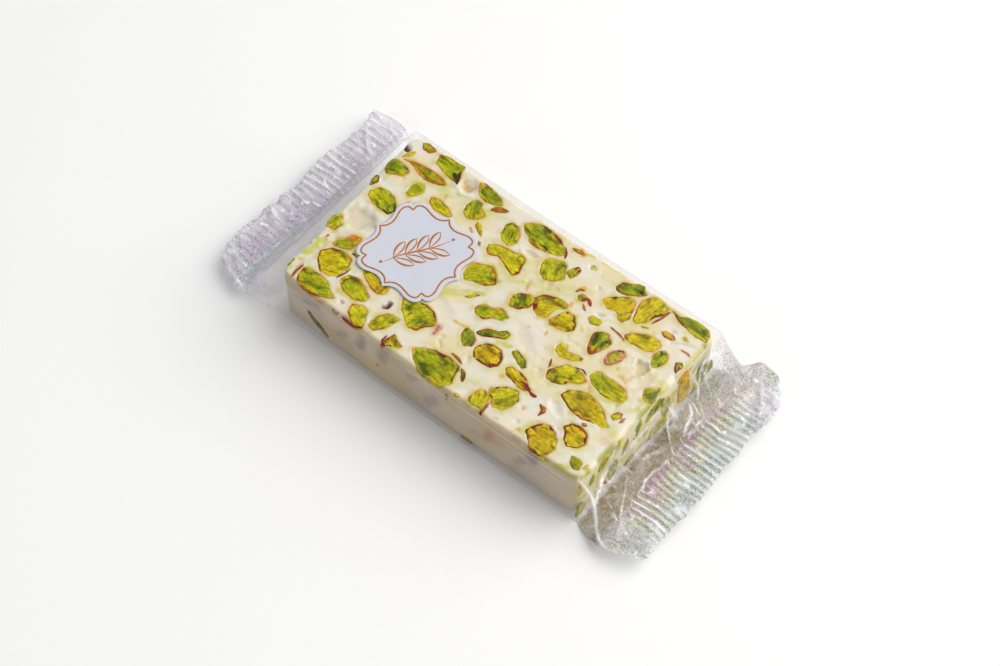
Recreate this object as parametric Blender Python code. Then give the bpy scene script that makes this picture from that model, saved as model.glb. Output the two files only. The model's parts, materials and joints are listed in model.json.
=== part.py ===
"""A bar of pistachio nougat in a clear flow wrap.

The bar is a soft slab cut to a block, with pieces of pistachio cut flush with its top and with
one end. The wrap is one solid: a thin underside sheet that rises at each end of the bar into a
wedge, which closes in a flat, crimped seal. A small paper plaque lies on top of the wrap.

Sizes are in millimetres and become metres where the vertices are made. The long side of the
bar lies along X, and the origin is on the ground under the middle of the whole pack.
"""
import bpy
import bmesh
from math import copysign, cos, pi, radians, sin
from mathutils import Matrix, Vector

MM = 0.001
GAP = 0.3                      # clearance between neighbouring solids

# The bar
BAR_LENGTH = 93.0
BAR_WIDTH = 52.2
BAR_TOP = 16.8                 # height of the top face above the ground
SHEET_THICK = 0.4              # the wrap's underside sheet, under the bar
BAR_BASE = SHEET_THICK + GAP
BAR_CENTRE = (0.7, -2.25)      # middle of the bar, measured from the middle of the pack
BAR_CORNER = 3.2               # radius of the upright corners
BAR_EDGE = 0.9                 # radius of the top and bottom edges
BAR_BOW = 0.7                  # how far both long sides curve back towards their ends
BAR_SKEW = 1.6                 # how far the left end is cut out of square
CORNER_STEPS = 4
EDGE_STEPS = 2
BOW_STEPS = 8                  # straight stretches that make up a bowed side

# Pieces of pistachio cut by the top face. Places are measured from the middle of the bar.
# x, y, length, width, turn in degrees, taper (wide end ahead when positive), bend (ends to
# the left when positive), squareness (1 a diamond, 2 an oval, 3 nearly a box), three-cornered
# part, and colour
TOP_PIECES = (
    (-44.1, -6.0, 5.2, 4.3, 85, 0.00, 0.0, 1.6, 0.00, "green"),
    (-38.0, -8.8, 6.7, 4.3, 47, 0.10, 0.0, 2.5, 0.00, "green"),
    (-37.0, -15.5, 9.8, 8.0, 0, 0.25, 0.0, 1.9, -0.07, "yellow"),
    (-27.4, -17.9, 8.8, 5.0, -12, -0.05, 0.0, 3.0, 0.00, "green"),
    (-25.1, -13.9, 8.4, 3.1, -12, 0.25, 0.0, 2.6, 0.00, "yellow"),
    (-34.9, -22.9, 12.2, 5.0, -4, -0.45, 0.15, 2.3, 0.00, "green"),
    (-22.2, -23.2, 5.9, 5.4, -5, 0.00, 0.0, 1.7, 0.00, "green"),
    (-16.2, -20.9, 6.4, 5.0, 75, 0.00, 0.0, 2.8, 0.00, "green"),
    (-11.1, -14.4, 10.4, 7.8, -25, 0.00, 0.0, 2.3, 0.04, "green"),
    (0.6, -22.7, 13.4, 7.8, -8, 0.30, 0.0, 2.4, 0.00, "green"),
    (2.6, -11.9, 4.3, 3.8, 100, 0.10, 0.0, 2.6, 0.00, "dark"),
    (6.0, -6.8, 7.8, 3.1, 35, 0.30, 0.0, 2.6, 0.00, "dark"),
    (14.9, -8.3, 6.0, 2.0, -33, 0.00, -0.4, 2.4, 0.00, "dark"),
    (8.9, -12.2, 7.5, 5.9, -5, 0.00, 0.0, 2.2, 0.00, "yellow"),
    (1.8, -2.7, 8.6, 4.9, 10, 0.35, 0.0, 2.6, 0.00, "green"),
    (18.6, -18.8, 8.0, 7.4, -12, 0.15, 0.0, 1.9, -0.06, "green"),
    (18.4, -13.0, 9.4, 3.5, -11, -0.30, 0.0, 2.1, 0.00, "yellow"),
    (26.2, -5.1, 9.3, 6.4, 17, -0.05, 0.0, 1.9, 0.00, "green"),
    (35.9, -1.7, 10.8, 5.4, -3, 0.00, 0.0, 3.0, 0.00, "green"),
    (35.9, -9.4, 13.9, 6.3, -9, -0.25, 0.0, 1.9, 0.00, "yellow"),
    (38.1, -16.7, 7.3, 5.9, -15, -0.15, 0.0, 2.1, 0.00, "yellow"),
    (32.6, -22.0, 8.8, 8.0, 0, 0.00, 0.0, 1.8, 0.00, "yellow"),
    (22.9, -0.3, 7.8, 2.7, 5, 0.00, 0.6, 2.4, 0.00, "yellow"),
    (-34.0, 24.2, 7.6, 5.0, -8, 0.35, 0.0, 2.4, 0.00, "green"),
    (-20.2, 23.7, 8.8, 4.4, -15, -0.20, 0.0, 2.2, 0.00, "green"),
    (-36.0, 18.9, 12.4, 3.0, 0, 0.00, 0.0, 2.1, 0.00, "green"),
    (-43.0, 15.0, 7.6, 4.4, 8, 0.00, 0.0, 2.6, 0.00, "dark"),
    (-35.2, 13.0, 5.3, 3.6, 70, 0.15, 0.0, 2.6, 0.00, "green"),
    (-27.0, 13.2, 8.6, 3.1, 0, -0.15, 0.0, 2.8, 0.00, "yellow"),
    (-20.2, 17.5, 6.2, 5.5, -60, 0.10, 0.0, 2.1, 0.07, "green"),
    (-39.6, 6.1, 9.6, 5.3, -18, 0.15, 0.0, 2.2, 0.00, "green"),
    (-1.8, 21.4, 13.6, 6.6, -9, 0.00, 0.0, 2.0, 0.00, "green"),
    (-9.0, 17.6, 5.8, 4.4, 105, 0.00, 0.0, 3.2, 0.00, "green"),
    (-5.9, 11.8, 11.3, 5.3, -7, 0.35, 0.0, 2.8, 0.00, "green"),
    (-6.8, 4.2, 8.6, 7.0, 5, -0.10, 0.0, 2.1, 0.05, "green"),
    (5.8, 15.8, 7.4, 6.2, -22, 0.00, 0.0, 1.7, 0.00, "green"),
    (4.9, 4.3, 5.4, 4.7, -50, 0.00, 0.0, 2.3, 0.00, "green"),
    (10.8, 7.4, 8.2, 5.0, 42, 0.00, -0.5, 2.2, 0.00, "yellow"),
    (17.3, 6.1, 6.3, 5.8, 12, 0.00, 0.0, 2.4, 0.00, "yellow"),
    (16.8, 13.8, 4.6, 3.0, -20, 0.00, 0.0, 2.0, 0.00, "dark"),
    (23.2, 24.2, 8.0, 5.0, 20, -0.10, 0.0, 2.0, 0.00, "dark"),
    (23.8, 18.0, 8.4, 5.5, -8, 0.05, -0.5, 2.6, 0.00, "yellow"),
    (30.8, 21.1, 9.2, 5.9, 78, 0.30, 0.0, 2.3, 0.00, "yellow"),
    (41.0, 24.7, 12.6, 4.5, -2, 0.35, 0.0, 2.6, 0.00, "green"),
    (33.9, 13.9, 9.0, 4.2, 14, 0.20, 0.0, 2.2, 0.00, "yellow"),
    (40.5, 12.1, 6.2, 3.9, 100, 0.00, 0.0, 2.2, 0.00, "green"),
    (26.8, 6.5, 8.0, 5.2, 95, 0.40, 0.0, 2.3, 0.00, "dark"),
    (32.2, 5.7, 6.4, 3.3, 78, 0.00, 0.0, 2.0, 0.00, "green"),
    (44.6, 3.0, 5.0, 4.4, 60, 0.00, 0.0, 2.0, 0.12, "green"),
    (-10.2, -23.3, 4.8, 3.7, -15, 0.00, 0.0, 2.0, 0.00, "yellow"),
    (14.7, -22.9, 5.2, 3.2, 115, 0.00, 0.0, 2.4, 0.00, "green"),
)

# Pieces cut by the right end face, in the same terms, with y and the height in place of x, y
END_PIECES = (
    (14.2, 8.6, 13.0, 4.8, 92, -0.10, 0.0, 2.4, 0.00, "yellow"),
    (7.2, 8.6, 8.6, 3.8, 100, 0.00, 0.0, 2.3, 0.00, "green"),
    (-12.8, 5.4, 7.6, 3.8, 82, 0.10, 0.0, 2.2, 0.00, "dark"),
    (21.4, 7.6, 8.2, 4.2, 84, 0.00, 0.0, 2.2, 0.00, "dark"),
)
OUTLINE_POINTS = 12
LARGE_PIECE = 8.0              # longer pieces get a rounded underside
LARGE_LEVELS = ((0.0, 1.0), (0.5, 0.96), (1.0, 0.55))   # share of depth, share of outline
SMALL_LEVELS = ((0.0, 1.0), (1.0, 0.65))
DEPTH_SHARE = 0.62             # depth of a top piece, as a share of its width
END_DEPTH = 3.0
CUT_ABOVE = 1.5                # how far a pocket's cutter stands out of the bar

# The wrap, from the left seal to the right one. Places are measured from the middle of the
# bar: x, front y, back y, height of the top, height of the bottom, how far the top drops
# towards front and back, height of the ridges
FACE = BAR_LENGTH / 2 + 2 * GAP
SHEET_END = BAR_LENGTH / 2 + GAP
SEAL_TOP = 3.85
SEAL_BASE = 3.35
RIDGE = 0.2
WRAP_STATIONS = (
    (-67.3, -25.8, 33.0, SEAL_TOP, SEAL_BASE, 0.0, RIDGE),
    (-66.2, -27.2, 34.0, SEAL_TOP, SEAL_BASE, 0.0, RIDGE),
    (-57.0, -29.5, 33.6, SEAL_TOP, SEAL_BASE, 0.0, RIDGE),
    (-51.5, -27.6, 30.0, 10.4, 1.2, 2.6, 0.0),
    (-FACE, -26.4, 27.2, BAR_TOP, 0.0, 0.8, 0.0),
    (-SHEET_END, -25.0, 25.8, SHEET_THICK, 0.0, 0.0, 0.0),
    (SHEET_END, -25.0, 25.8, SHEET_THICK, 0.0, 0.0, 0.0),
    (FACE, -26.4, 27.2, BAR_TOP, 0.0, 0.8, 0.0),
    (50.8, -27.8, 30.0, 10.4, 1.2, 2.6, 0.0),
    (55.2, -29.2, 34.0, SEAL_TOP, SEAL_BASE, 0.0, RIDGE),
    (61.5, -28.6, 33.2, SEAL_TOP, SEAL_BASE, 0.0, RIDGE),
    (65.9, -26.0, 28.5, SEAL_TOP, SEAL_BASE, 0.0, RIDGE),
)
RIDGE_STEPS = 50               # two steps make one ridge

# The paper plaque: the points of an eighth of its outline, from the middle of a side to the
# notch in its corner, measured from its centre
LABEL_CENTRE = (-22.9, -0.5)
LABEL_EIGHTH = ((0.0, 13.1), (0.9, 12.3), (2.4, 12.0), (6.3, 12.3), (8.2, 11.7), (9.3, 10.4))
LABEL_NOTCH = 9.6
LABEL_BASE = BAR_TOP + GAP
LABEL_THICK = 0.2

COLOURS = {                    # linear RGB, roughness
    "nougat": ((0.76, 0.70, 0.57), 0.55),
    "green": ((0.27, 0.33, 0.02), 0.5),
    "yellow": ((0.45, 0.40, 0.02), 0.5),
    "dark": ((0.07, 0.10, 0.01), 0.5),
    "wrap": ((0.80, 0.81, 0.84), 0.1),
    "label": ((0.72, 0.75, 0.83), 0.7),
}


def clear_scene():
    """Remove every object that the scene starts with."""
    for item in list(bpy.data.objects):
        bpy.data.objects.remove(item)


def make_collection(name):
    """Add a collection under the scene's own."""
    group = bpy.data.collections.new(name)
    bpy.context.scene.collection.children.link(group)
    return group


def make_material(name, colour):
    """Make a Principled material from a row of COLOURS."""
    rgb, roughness = COLOURS[colour]
    material = bpy.data.materials.new(name)
    material.use_nodes = True
    shader = material.node_tree.nodes["Principled BSDF"]
    shader.inputs["Base Color"].default_value = (*rgb, 1.0)
    shader.inputs["Roughness"].default_value = roughness
    return material


def add_object(name, bm, group, colour=None):
    """Turn a bmesh in millimetres into an object in metres; without a colour it is a cutter."""
    bmesh.ops.scale(bm, vec=(MM, MM, MM), verts=bm.verts)
    bmesh.ops.recalc_face_normals(bm, faces=bm.faces)
    if bm.calc_volume(signed=True) < 0:
        bmesh.ops.reverse_faces(bm, faces=bm.faces)
    mesh = bpy.data.meshes.new(name)
    bm.to_mesh(mesh)
    bm.free()
    item = bpy.data.objects.new(name, mesh)
    group.objects.link(item)
    if colour:
        mesh.materials.append(make_material(name, colour))
    else:
        item.hide_render = True
        item.display_type = "WIRE"
    return item


def loft(rings):
    """Skin a row of closed rings with equal numbers of points, and cap both ends."""
    bm = bmesh.new()
    rows = [[bm.verts.new(point) for point in ring] for ring in rings]
    for near, far in zip(rows, rows[1:]):
        for k in range(len(near)):
            bm.faces.new((near[k - 1], near[k], far[k], far[k - 1]))
    bm.faces.new(rows[0])
    bm.faces.new(reversed(rows[-1]))
    return bm


def add_boolean(item, operation, other):
    """Cut an object with an object or with a collection of cutters."""
    cut = item.modifiers.new("cut", "BOOLEAN")
    cut.operation = operation
    cut.solver = "EXACT"
    if isinstance(other, bpy.types.Collection):
        cut.operand_type = "COLLECTION"
        cut.collection = other
    else:
        cut.object = other


def bend_bar(x, y):
    """Bow a point of the bar's plan, and cut its left end out of square."""
    along = 2 * x / BAR_LENGTH
    across = 2 * y / BAR_WIDTH
    return (BAR_CENTRE[0] + x + BAR_SKEW * max(0.0, -along) * (1 - across) / 2,
            BAR_CENTRE[1] + y + BAR_BOW * along * along)


def bar_outline(inset):
    """The bar's plan, anticlockwise from the right end: round corners joined by long sides."""
    radius = BAR_CORNER - inset
    reach_x = BAR_LENGTH / 2 - BAR_CORNER
    reach_y = BAR_WIDTH / 2 - BAR_CORNER
    points = []
    for quarter, (side_x, side_y) in enumerate(((1, 1), (-1, 1), (-1, -1), (1, -1))):
        for step in range(CORNER_STEPS + 1):
            angle = (quarter + step / CORNER_STEPS) * pi / 2
            points.append((side_x * reach_x + radius * cos(angle),
                           side_y * reach_y + radius * sin(angle)))
        if side_x == side_y:
            points += [(side_x * reach_x * (1 - 2 * step / BOW_STEPS),
                        side_y * (reach_y + radius)) for step in range(1, BOW_STEPS)]
    return [bend_bar(x, y) for x, y in points]


def slab():
    """The bar's block, lofted from its base to its top, with rounded edges at both."""
    rings = []
    for step in range(EDGE_STEPS + 1):
        angle = step / EDGE_STEPS * pi / 2
        inset = BAR_EDGE * (1 - sin(angle))
        rise = BAR_EDGE * (1 - cos(angle))
        rings.append([(x, y, BAR_BASE + rise) for x, y in bar_outline(inset)])
    for step in range(EDGE_STEPS, -1, -1):
        angle = step / EDGE_STEPS * pi / 2
        inset = BAR_EDGE * (1 - sin(angle))
        rise = BAR_EDGE * (1 - cos(angle))
        rings.append([(x, y, BAR_TOP - rise) for x, y in bar_outline(inset)])
    return loft(rings)


def piece_outline(row, grow):
    """Points round a piece, in its own plane: a superellipse with a taper and a bend."""
    length, width, turn, taper, bend, squareness, corner = row[2:9]
    turn = radians(turn)
    points = []
    for k in range(OUTLINE_POINTS):
        angle = 2 * pi * k / OUTLINE_POINTS
        reach = 1 + corner * cos(3 * angle)
        u = copysign(abs(cos(angle)) ** (2 / squareness), cos(angle)) * reach
        v = copysign(abs(sin(angle)) ** (2 / squareness), sin(angle)) * reach
        v = v * (1 + taper * u) + bend * (u * u - 0.35)
        u *= length / 2 + grow
        v *= width / 2 + grow
        points.append((u * cos(turn) - v * sin(turn), u * sin(turn) + v * cos(turn)))
    return points


def piece_rings(row, plane, depth, grow, above):
    """Rings of a piece from its cut face down to its underside, in the given plane. A piece
    that is trimmed later, or a cutter, starts with a ring above its cut face."""
    levels = LARGE_LEVELS if row[2] > LARGE_PIECE else SMALL_LEVELS
    heights = [(-share * (depth + grow), size) for share, size in levels]
    if above:
        heights.insert(0, (above, 1.0))
    outline = piece_outline(row, grow)
    return [[plane @ Vector((size * a, size * b, height)) for a, b in outline]
            for height, size in heights]


def top_plane(row):
    """Place a piece in the bar's top face."""
    return Matrix.Translation((BAR_CENTRE[0] + row[0], BAR_CENTRE[1] + row[1], BAR_TOP))


def end_plane(row):
    """Place a piece in the bar's right end face, with its height up and its depth along X."""
    turned = Matrix(((0, 0, 1, 0), (1, 0, 0, 0), (0, 1, 0, 0), (0, 0, 0, 1)))
    corner = (BAR_CENTRE[0] + BAR_LENGTH / 2, BAR_CENTRE[1] + row[0], row[1])
    return Matrix.Translation(corner) @ turned


def add_piece(name, row, plane, depth, group, pockets, block):
    """A piece of pistachio and the cutter of its pocket. Where the piece meets the bar's
    edge, the bar's own block trims it."""
    add_object("pocket_" + name, loft(piece_rings(row, plane, depth, GAP, CUT_ABOVE)), pockets)
    meets_edge = any(abs(point.x - BAR_CENTRE[0]) > BAR_LENGTH / 2 - 2 * BAR_EDGE
                     or abs(point.y - BAR_CENTRE[1]) > BAR_WIDTH / 2 - 2 * BAR_EDGE
                     for point in piece_rings(row, plane, depth, 0.0, 0.0)[0])
    above = CUT_ABOVE if meets_edge else 0.0
    piece = add_object(name, loft(piece_rings(row, plane, depth, 0.0, above)), group, row[-1])
    if meets_edge:
        add_boolean(piece, "INTERSECT", block)


def add_bar(group, cutters, pockets):
    """The nougat with its pockets, and every piece of pistachio in them."""
    block = add_object("bar_block", slab(), cutters)
    nougat = add_object("nougat", slab(), group, "nougat")
    for number, row in enumerate(TOP_PIECES, 1):
        name = f"pistachio_top_{number:02d}"
        add_piece(name, row, top_plane(row), DEPTH_SHARE * row[3], group, pockets, block)
    for number, row in enumerate(END_PIECES, 1):
        name = f"pistachio_end_{number}"
        add_piece(name, row, end_plane(row), END_DEPTH, group, pockets, block)
    add_boolean(nougat, "DIFFERENCE", pockets)


def wrap_ring(station):
    """One cross-section of the wrap: its top from front to back, then its bottom back."""
    x, front, back, top, base, drop, ridge = station
    upper = []
    lower = []
    for step in range(RIDGE_STEPS + 1):
        share = step / RIDGE_STEPS
        y = BAR_CENTRE[1] + front + share * (back - front)
        wave = ridge if step % 2 else -ridge
        sag = drop * abs(2 * share - 1) ** 6
        upper.append((BAR_CENTRE[0] + x, y, top + wave - sag))
        lower.append((BAR_CENTRE[0] + x, y, base + wave))
    return upper + lower[::-1]


def add_wrap(group):
    """The clear wrap as one solid, lofted from the left seal to the right one."""
    add_object("wrap", loft([wrap_ring(station) for station in WRAP_STATIONS]), group, "wrap")


def label_outline():
    """The plaque's outline, from its eighth: mirrored in the diagonal, then turned by quarters."""
    half_corner = [(x, y) for x, y in LABEL_EIGHTH]
    corner = half_corner + [(LABEL_NOTCH, LABEL_NOTCH)] + [(y, x) for x, y in half_corner[:0:-1]]
    points = []
    for quarter in range(4):
        c, s = round(cos(quarter * pi / 2)), -round(sin(quarter * pi / 2))
        points += [(x * c - y * s, x * s + y * c) for x, y in corner]
    return points


def add_label(group):
    """The paper plaque that lies on the wrap."""
    x0 = BAR_CENTRE[0] + LABEL_CENTRE[0]
    y0 = BAR_CENTRE[1] + LABEL_CENTRE[1]
    outline = label_outline()
    rings = [[(x0 + x, y0 + y, z) for x, y in outline]
             for z in (LABEL_BASE, LABEL_BASE + LABEL_THICK)]
    add_object("label", loft(rings), group, "label")


def main():
    clear_scene()
    parts = make_collection("nougat_bar")
    cutters = make_collection("cutters")
    pockets = make_collection("pockets")
    add_bar(parts, cutters, pockets)
    add_wrap(parts)
    add_label(parts)


main()
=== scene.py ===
# %% [markdown]
# # A pistachio nougat bar in its clear wrapper
# The real thing is a slab of soft white nougat. It was cut with a knife, so the pistachios in it
# are cut too, and it was sealed in a clear flow wrap with two crimped ends. A small paper label
# lies on top. The bar could be dressed with stock primitives, but every part of it is uneven, so
# each surface here is worked out with numpy instead. The CAD model says where each piece is and
# how large it is, and this script only gives it its looks.

# %% Load the CAD model and measure it
import json

import bpy
import numpy as np
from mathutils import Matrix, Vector


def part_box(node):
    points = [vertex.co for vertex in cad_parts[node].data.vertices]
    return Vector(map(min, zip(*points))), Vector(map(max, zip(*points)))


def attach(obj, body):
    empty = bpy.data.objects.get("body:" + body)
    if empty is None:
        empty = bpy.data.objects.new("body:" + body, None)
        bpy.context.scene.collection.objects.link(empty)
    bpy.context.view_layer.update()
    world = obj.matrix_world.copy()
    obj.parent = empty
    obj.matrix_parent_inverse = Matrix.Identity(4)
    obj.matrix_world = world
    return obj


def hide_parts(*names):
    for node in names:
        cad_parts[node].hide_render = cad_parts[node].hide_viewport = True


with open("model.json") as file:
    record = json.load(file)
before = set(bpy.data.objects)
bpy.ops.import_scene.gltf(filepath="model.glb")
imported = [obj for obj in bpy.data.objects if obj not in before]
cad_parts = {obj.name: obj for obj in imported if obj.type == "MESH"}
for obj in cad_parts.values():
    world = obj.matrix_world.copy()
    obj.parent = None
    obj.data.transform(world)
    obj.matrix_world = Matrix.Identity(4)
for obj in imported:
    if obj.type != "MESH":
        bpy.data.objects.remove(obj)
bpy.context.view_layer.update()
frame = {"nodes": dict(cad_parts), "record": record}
MM = 0.001

# %% [markdown]
# ## Where things are
# Shapes are worked out in millimetres from the middle of the bar: x along it, y towards the back,
# z up from the table. Its middle comes from the CAD solid. The bar is a little bowed, which moves
# both ends back, so its width is counted from the front edge. Its left end was cut askew, so its
# length is counted from the right end.

# %% The bar's place and size
bar_low, bar_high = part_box("nougat")
BAR_LENGTH, BAR_WIDTH = 93.0, 52.2
BAR_BASE, BAR_TOP = bar_low.z / MM, bar_high.z / MM
BAR_CORNER, BAR_EDGE = 3.2, 1.0
BAR_BOW, BAR_SKEW = 0.7, 1.6
MIDDLE = np.array([bar_high.x / MM - BAR_LENGTH / 2, bar_low.y / MM + BAR_WIDTH / 2, 0.0])
print("bar: middle", MIDDLE.round(2), "from z", round(BAR_BASE, 2), "to", round(BAR_TOP, 2))

# %% [markdown]
# ## Random fields
# Nougat, nuts and film are all uneven, and none of it may change from one run to the next. A
# texture made by a library would do, but a table of random numbers that is blended smoothly is
# short, works on whole arrays, and gives the same values each time for the same seed.

# %% Noise and soft steps
def noise(x, y, size, seed):
    """Random field from -1 to 1. A table holds one number for each corner of a square lattice,
    size mm apart, and a point takes the four around it, blended by the curve 3t^2 - 2t^3."""
    table = np.random.default_rng(seed).uniform(-1, 1, (64, 64))
    x, y = np.asarray(x) / size, np.asarray(y) / size
    column, row = np.floor(x).astype(int), np.floor(y).astype(int)
    across, up = x - column, y - row
    across, up = across ** 2 * (3 - 2 * across), up ** 2 * (3 - 2 * up)
    corner = [table[(column + i) % 64, (row + j) % 64] for i, j in ((0, 0), (1, 0), (0, 1), (1, 1))]
    near = corner[0] + (corner[1] - corner[0]) * across
    far = corner[2] + (corner[3] - corner[2]) * across
    return near + (far - near) * up


def soft_step(start, end, value):
    """0 before start, 1 after end, and 3t^2 - 2t^3 between. With start above end it falls."""
    t = np.clip((value - start) / (end - start), 0, 1)
    return t * t * (3 - 2 * t)


def bell(x):
    """The bell curve e^(-x^2): 1 at 0, a third at 1, and next to nothing beyond 2."""
    return np.exp(-x ** 2)


def turned(x, y, degrees):
    """The coordinates of a point along and across a direction."""
    c, s = np.cos(np.radians(degrees)), np.sin(np.radians(degrees))
    return x * c + y * s, y * c - x * s


print("noise from", noise(np.arange(50), 0, 3.3, 1).min().round(2), "up")

# %% [markdown]
# ## Colours
# A colour is written as its sRGB hex value, as a paint program shows it. Blender calculates in
# linear light, so one function turns the one into the other. The names are those of the things
# that have the colour.

# %% Palette
def linear(code):
    """sRGB hex to linear: c / 12.92 for dark values, else ((c + 0.055) / 1.055) ^ 2.4."""
    c = np.array([int(code[i:i + 2], 16) for i in (1, 3, 5)]) / 255
    return np.where(c <= 0.04045, c / 12.92, ((c + 0.055) / 1.055) ** 2.4)


def mix(a, b, share):
    """Colour a where share is 0 and b where it is 1, for a whole array of points."""
    return a + (b - a) * np.asarray(share)[..., None]


CREAM, CREAM_COOL, CREAM_WARM = linear("#EDE5D3"), linear("#EAE5DA"), linear("#E9D9A8")
STAIN = {name: linear(code) for name, code in dict(
    lime="#CBC848", leaf="#8F9A12", gold="#D8B61E", orange="#DC8E28", amber="#B86E18",
    brown="#84480E", umber="#4E2E10", crimson="#8E2226", rust="#AC4A14", rose="#D08070",
    tan="#D2B078", taupe="#D8C8A0", mauve="#7A6A68", teal="#1E3A2E", pale="#F4EDDC").items()}
# Flesh from the dark outside of a kernel to its yellow heart, each in three colours: darker in
# the hollows as painted shade, between, and lighter on ridges as painted light.
FLESH = np.array([[linear(code) for code in row] for row in (
    ("#263402", "#607202", "#98A806"),
    ("#566402", "#A0A802", "#D2CE0C"),
    ("#7E7602", "#C6B802", "#EADC18"),
    ("#966E02", "#D6AC02", "#F2D21A"),
)])
print(len(STAIN), "stains and", len(FLESH), "shades of flesh")

# %% [markdown]
# ## Making meshes and materials
# Most pieces are grids: rows of points that follow each other, where each row is an open line or
# a closed ring. A grid of faces joins them, and a closed ring at either end can be filled with
# one face. A material is a small tree of shader nodes, and one function adds each of them.

# %% Grids, meshes and nodes
def grid_faces(rows, columns, closed):
    """Four-cornered faces of a grid of rows x columns points. With closed, the last column joins
    the first."""
    here = np.arange(rows * columns).reshape(rows, columns)
    beside = np.roll(here, -1, axis=1)
    a, b, c, d = here[:-1], beside[:-1], beside[1:], here[1:]
    quads = np.stack([a, b, c, d], axis=-1)
    return (quads if closed else quads[:, :-1]).reshape(-1, 4)


def add_object(name, data, place=(0, 0, 0), facing=None):
    """An object in the scene. With facing, its -Z axis is turned that way."""
    made = bpy.data.objects.new(name, data)
    made.location = place
    if facing is not None:
        made.rotation_mode = "QUATERNION"
        made.rotation_quaternion = Vector(facing).to_track_quat("-Z", "Y")
    bpy.context.scene.collection.objects.link(made)
    return made


def add_piece(name, points, faces, material, slot, nodes=(), smooth=True, **attributes):
    """A mesh of points in mm from the bar's middle that rides on the part and stands for CAD
    nodes. An attribute is a value or a colour for each point, and uv is a place on the pattern."""
    mesh = bpy.data.meshes.new(name)
    mesh.from_pydata((np.asarray(points) + MIDDLE) * MM, [], [list(map(int, f)) for f in faces])
    for key, values in attributes.items():
        values = np.asarray(values, dtype=np.float32)
        if key == "uv":
            corner = np.empty(len(mesh.loops), dtype=np.int32)
            mesh.loops.foreach_get("vertex_index", corner)
            mesh.uv_layers.new(name="grain").data.foreach_set("uv", values[corner].ravel())
        elif values.ndim == 2:
            colour = np.ones((len(values), 4), dtype=np.float32)
            colour[:, :3] = values
            mesh.color_attributes.new(key, "FLOAT_COLOR", "POINT").data.foreach_set(
                "color", colour.ravel())
        else:
            mesh.attributes.new(key, "FLOAT", "POINT").data.foreach_set("value", values)
    mesh.shade_smooth() if smooth else mesh.shade_flat()
    mesh.materials.append(material)
    piece = add_object(name, mesh)
    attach(piece, "root")
    if nodes:
        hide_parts(*nodes)
    return piece


def add_node(tree, kind, links=None, **settings):
    """A shader node. A setting is one of its options, or the value of the input of that name with
    _ for a space. links says what feeds which input, by name or place: an output, the first output
    of a node, a number or a colour."""
    made = tree.nodes.new("ShaderNode" + kind)
    for key, value in settings.items():
        if hasattr(made, key) and key not in ("width", "height", "color"):
            setattr(made, key, value)
        else:
            made.inputs[key.replace("_", " ")].default_value = value
    for key, source in (links or {}).items():
        if isinstance(source, (int, float, tuple)):
            made.inputs[key].default_value = source
        else:
            tree.links.new(getattr(source, "outputs", [source])[0], made.inputs[key])
    return made


def new_material(name):
    """An empty material and its node tree."""
    material = bpy.data.materials.new(name)
    material.use_nodes = True
    material.node_tree.nodes.clear()
    return material, material.node_tree


def rgba(colour):
    """A linear colour as the four numbers a socket takes."""
    return (*map(float, colour), 1.0)


print("faces of a 3 x 4 grid:", len(grid_faces(3, 4, False)), "open,", len(grid_faces(3, 4, True)),
      "closed")

# %% [markdown]
# ## Camera, floor and light
# The bar is seen from its front right corner and from high up, from about 60 cm with a long
# lens. It lies on plain white paper. Two soft panels light it: a large one high behind its right
# end gives the film its glints and leaves the front face in shade, and a weak one fills from the
# front. Gloss needs something to reflect, so the room around is a little darker than the panels.

# %% Camera
AZIMUTH, ELEVATION, DISTANCE = np.radians(39.5), np.radians(56.5), 605.0
back = np.array([np.sin(AZIMUTH) * np.cos(ELEVATION), -np.cos(AZIMUTH) * np.cos(ELEVATION),
                 np.sin(ELEVATION)])
right = np.array([np.cos(AZIMUTH), np.sin(AZIMUTH), 0.0])
up = np.cross(back, right)
camera = add_object("camera", bpy.data.cameras.new("camera"),
                    (MIDDLE + back * DISTANCE + (right + up) * 1.8) * MM, -back)
camera.data.lens, camera.data.sensor_width = 90.0, 36.0
bpy.context.scene.camera = camera
bpy.context.scene.view_settings.view_transform = "Standard"
print("camera at", [round(side, 3) for side in camera.location])

# %% Floor and lights
paper, tree = new_material("matte_white_paper")
grain = add_node(tree, "TexNoise", {"Vector": add_node(tree, "TexCoord").outputs["Object"]},
                 Scale=900.0, Detail=3.0)
tone = add_node(tree, "MapRange", {"Value": grain}, To_Min=0.97, To_Max=0.99)
surface = add_node(tree, "BsdfPrincipled", {"Base Color": tone}, Roughness=0.95)
add_node(tree, "OutputMaterial", {"Surface": surface})
FLOOR = 1.5
floor_mesh = bpy.data.meshes.new("floor")
floor_mesh.from_pydata([(x * FLOOR, y * FLOOR, -0.00005) for x, y in
                        ((-1, -1), (1, -1), (1, 1), (-1, 1))], [], [(0, 1, 2, 3)])
floor_mesh.materials.append(paper)
floor = add_object("floor", floor_mesh)

world = bpy.data.worlds.new("studio")
world.use_nodes = True
room = world.node_tree.nodes["Background"].inputs
room["Color"].default_value, room["Strength"].default_value = (0.95, 0.97, 1.0, 1.0), 0.29
bpy.context.scene.world = world


def add_panel(name, place, size, power, colour):
    """A square soft light of that size in metres, facing the bar's middle."""
    light = add_object(name, bpy.data.lights.new(name, "AREA"), place, -Vector(place)).data
    light.size, light.energy, light.color = size, power, colour


add_panel("key_panel", (0.52, 0.62, 0.85), 1.5, 19.4, (1.0, 0.985, 0.96))
add_panel("fill_panel", (-0.3, -0.8, 0.5), 0.5, 1.2, (0.95, 0.97, 1.0))

# %% [markdown]
# ## The cut face of the bar
# Everything on top lies on one surface, so its height is a function of place that the nougat, the
# nuts and the film all use. A knife drags soft nougat: it leaves long low waves, a few smooth
# hollows where air was caught, and near the right end a hole where a lump tore out.

# %% Height of the cut face
KNIFE_TURN = 28.0
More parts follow.
